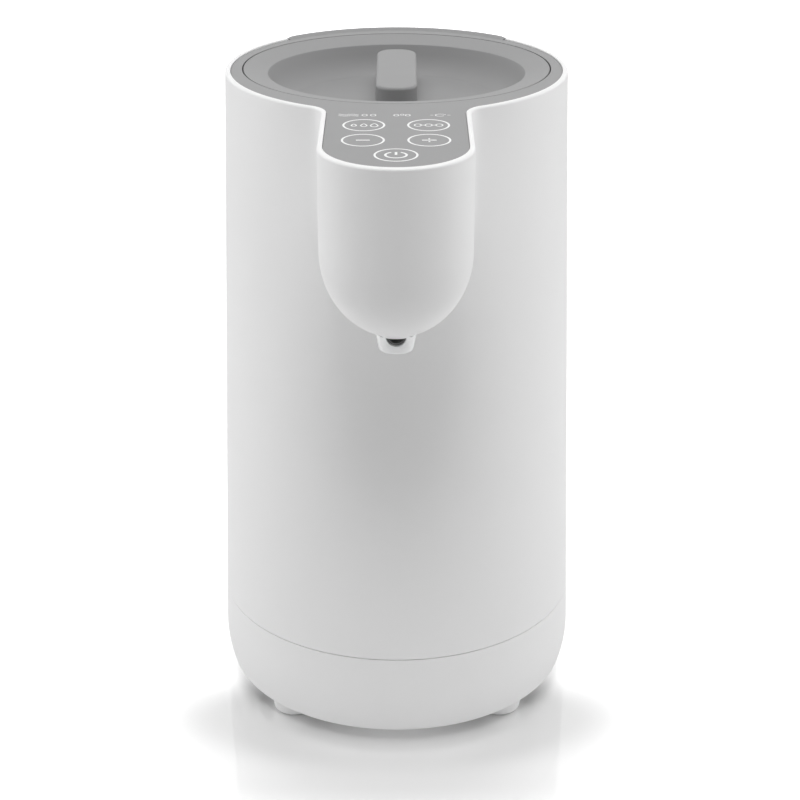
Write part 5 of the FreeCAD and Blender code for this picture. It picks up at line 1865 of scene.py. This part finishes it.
@dataclass(frozen=True)
class Studio:
    """Pale floor with a painted shadow around the base, soft lamps, white surroundings and the
    camera.
    """

    floor_half: float = 6.0
    floor_colour: float = 0.93
    # Camera-only floor white: left out near the body and in an oval pool before it to paint the
    # base's shadow; the glow paints light into the darkest spot before the base.
    near_fill: float = 0.5
    near_edges: Pair = (0.1, 0.16)
    far_fill: float = 1.1
    far_edges: Pair = (0.3, 0.9)
    shadow_pool_centre: float = -0.06
    pool_size: Pair = (0.1, 0.04)
    shadow_pool_fill: float = 0.8
    shadow_pool_edges: Pair = (0.78, 1.35)
    shadow_pool_front: Pair = (-0.12, -0.05)
    painted_glow_centre: float = -0.0696
    painted_glow_size: Pair = (0.066, 0.033)
    painted_glow_fill: float = 0.37
    mirror_share: float = 0.42
    mirror_roughness: float = 0.008
    ambient: float = 0.18
    lamps: tuple[SoftLamp, ...] = (
        SoftLamp("lamp_left", -100.0, 10.0, 1.1, (0.9, 1.3), 6.7),
        SoftLamp("lamp_right", 100.0, 10.0, 1.1, (0.9, 1.3), 6.7),
        SoftLamp("lamp_top", 180.0, 84.0, 1.45, (2.0, 1.6), 14.5),
        SoftLamp("lamp_front", 0.0, 60.0, 1.3, (0.34, 0.34), 3.35),
        SoftLamp("lamp_low", 0.0, 0.0, 0.24, (0.3, 0.04), 0.033, 0.022),
    )
    camera_drop: float = 23.69
    camera_lens: float = 88.74
    camera_x: float = 0.0015
    camera_back: float = 0.8412
    camera_height: float = 0.5053
    sensor: float = 36.0

    def ramp(self, tree: Tree, value: Socket, edges: Pair, top: float) -> Socket:
        """Return a smooth ramp from nothing to a full value between two edges."""
        inputs = {"Value": value, "From Min": edges[0], "From Max": edges[1], "To Max": top}
        return add_node(tree, "MapRange", inputs, interpolation_type="SMOOTHSTEP").outputs[0]

    def oval(self, tree: Tree, away: Socket, centre: float, size: Pair) -> Socket:
        """Distance from an oval's middle as a share of its size, 1 on its edge.

        Args:
            tree: The floor's tree.
            away: Place from the body's axis.
            centre: The oval's middle along Y.
            size: Its half sizes.

        Returns:
            The share.
        """
        inputs = {0: away, 1: (1 / size[0], 1 / size[1], 0.0), 2: (0.0, -centre / size[1], 0.0)}
        scaled = add_node(tree, "VectorMath", inputs, operation="MULTIPLY_ADD").outputs[0]
        return add_node(tree, "VectorMath", {0: scaled}, operation="LENGTH").outputs["Value"]

    def painted_floor_fill(self, tree: Tree) -> Socket:
        """White that the floor adds for the camera alone: none under the body, full far away, so
        its gaps paint shadow.

        Two ramps follow the distance from the axis. A third follows an oval pool in front of the
        axis, left without fill to paint the shadow's shape there, and fades out ahead of it. A
        small oval glow paints light into the darkest place, right before the base.

        Args:
            tree: The floor's tree.

        Returns:
            Its strength at each place.
        """
        place = add_node(tree, "TexCoord", {}).outputs["Object"]
        ends = {0: place, 1: body_axis()}
        away = add_node(tree, "VectorMath", ends, operation="SUBTRACT").outputs[0]
        reach = add_node(tree, "VectorMath", {0: away}, operation="LENGTH").outputs["Value"]
        near = self.ramp(tree, reach, self.near_edges, self.near_fill)
        far = self.ramp(tree, reach, self.far_edges, self.far_fill)
        pool = self.oval(tree, away, self.shadow_pool_centre, self.pool_size)
        around = self.ramp(tree, pool, self.shadow_pool_edges, self.shadow_pool_fill)
        along = add_node(tree, "SeparateXYZ", {0: away}).outputs["Y"]
        behind = self.ramp(tree, along, self.shadow_pool_front, 1.0)
        spot = self.oval(tree, away, self.painted_glow_centre, self.painted_glow_size)
        shut = self.ramp(tree, spot, (0.0, 1.0), 1.0)
        glow = maths(tree, "MULTIPLY_ADD", shut, -self.painted_glow_fill, self.painted_glow_fill)
        lit = maths(tree, "MULTIPLY_ADD", around, behind, glow)
        return maths(tree, "ADD", maths(tree, "ADD", near, far), lit)

    def build_floor(self) -> None:
        """Build the floor, a white sheet with a faint mirror and a camera-only fill that paints
        shadow and light around the base.
        """
        half = self.floor_half
        corners = [(-half, -half, 0), (half, -half, 0), (half, half, 0), (-half, half, 0)]
        mesh = bpy.data.meshes.new("floor")
        mesh.from_pydata(corners, [], [(0, 1, 2, 3)])
        floor = bpy.data.objects.new("floor", mesh)
        bpy.context.scene.collection.objects.link(floor)
        material = bpy.data.materials.new("floor_white")
        material.use_nodes = True
        tree = material.node_tree
        tree.nodes.clear()
        matt = add_node(tree, "BsdfDiffuse", {"Color": opaque(grey(self.floor_colour))}).outputs[0]
        seen = add_node(tree, "LightPath", {}).outputs["Is Camera Ray"]
        # Camera-only white, shaped to paint the base's shadow and a lift of light right before it.
        strength = maths(tree, "MULTIPLY", seen, self.painted_floor_fill(tree))
        fill = add_node(tree, "Emission", {"Strength": strength}).outputs[0]
        lit = add_node(tree, "AddShader", {0: matt, 1: fill}).outputs[0]
        mirror = add_node(tree, "BsdfGlossy", {"Roughness": self.mirror_roughness}).outputs[0]
        mix = add_node(tree, "MixShader", {0: self.mirror_share, 1: lit, 2: mirror}).outputs[0]
        add_node(tree, "OutputMaterial", {"Surface": mix})
        mesh.materials.append(material)

    def build_world(self) -> None:
        """Build the surroundings: white to the camera and to reflections, dim as light."""
        world = bpy.data.worlds.new("surroundings")
        bpy.context.scene.world = world
        world.use_nodes = True
        tree = world.node_tree
        seen = add_node(tree, "LightPath", {}).outputs
        straight = maths(tree, "MAXIMUM", seen["Is Camera Ray"], seen["Is Glossy Ray"])
        white = maths(tree, "MAXIMUM", straight, seen["Is Transmission Ray"])
        back = tree.nodes["Background"].inputs
        strength = maths(tree, "MULTIPLY_ADD", white, 1.0 - self.ambient, self.ambient)
        feed(tree, strength, back["Strength"])
        feed(tree, opaque(grey(1.0)), back["Color"])

    def build_camera(self) -> None:
        """Add the camera at the photograph's angle."""
        data = bpy.data.cameras.new("camera")
        data.lens = self.camera_lens
        data.sensor_width = self.sensor
        data.sensor_fit = "HORIZONTAL"
        camera = bpy.data.objects.new("camera", data)
        camera.location = (self.camera_x, body_axis().y - self.camera_back, self.camera_height)
        camera.rotation_euler = (math.radians(90 - self.camera_drop), 0.0, 0.0)
        bpy.context.scene.collection.objects.link(camera)
        bpy.context.scene.camera = camera

    def build(self) -> None:
        """Build the whole studio."""
        bpy.context.scene.view_settings.view_transform = "Standard"
        self.build_floor()
        self.build_world()
        for lamp in self.lamps:
            lamp.build()
        self.build_camera()


def main() -> None:
    """Build every sub-assembly in order."""
    logging.basicConfig(level=logging.INFO, format="%(message)s")
    shell = OuterShell()
    shell.build()
    BaseCover(shell).build()
    TopPlate(shell).build()
    PanelMarks().build()
    Lid().build()
    Nozzle(shell).build()
    Tank().build()
    log.info("%d frame solids dressed", Works().dress())
    Studio().build()


if __name__ == "__main__":
    main()
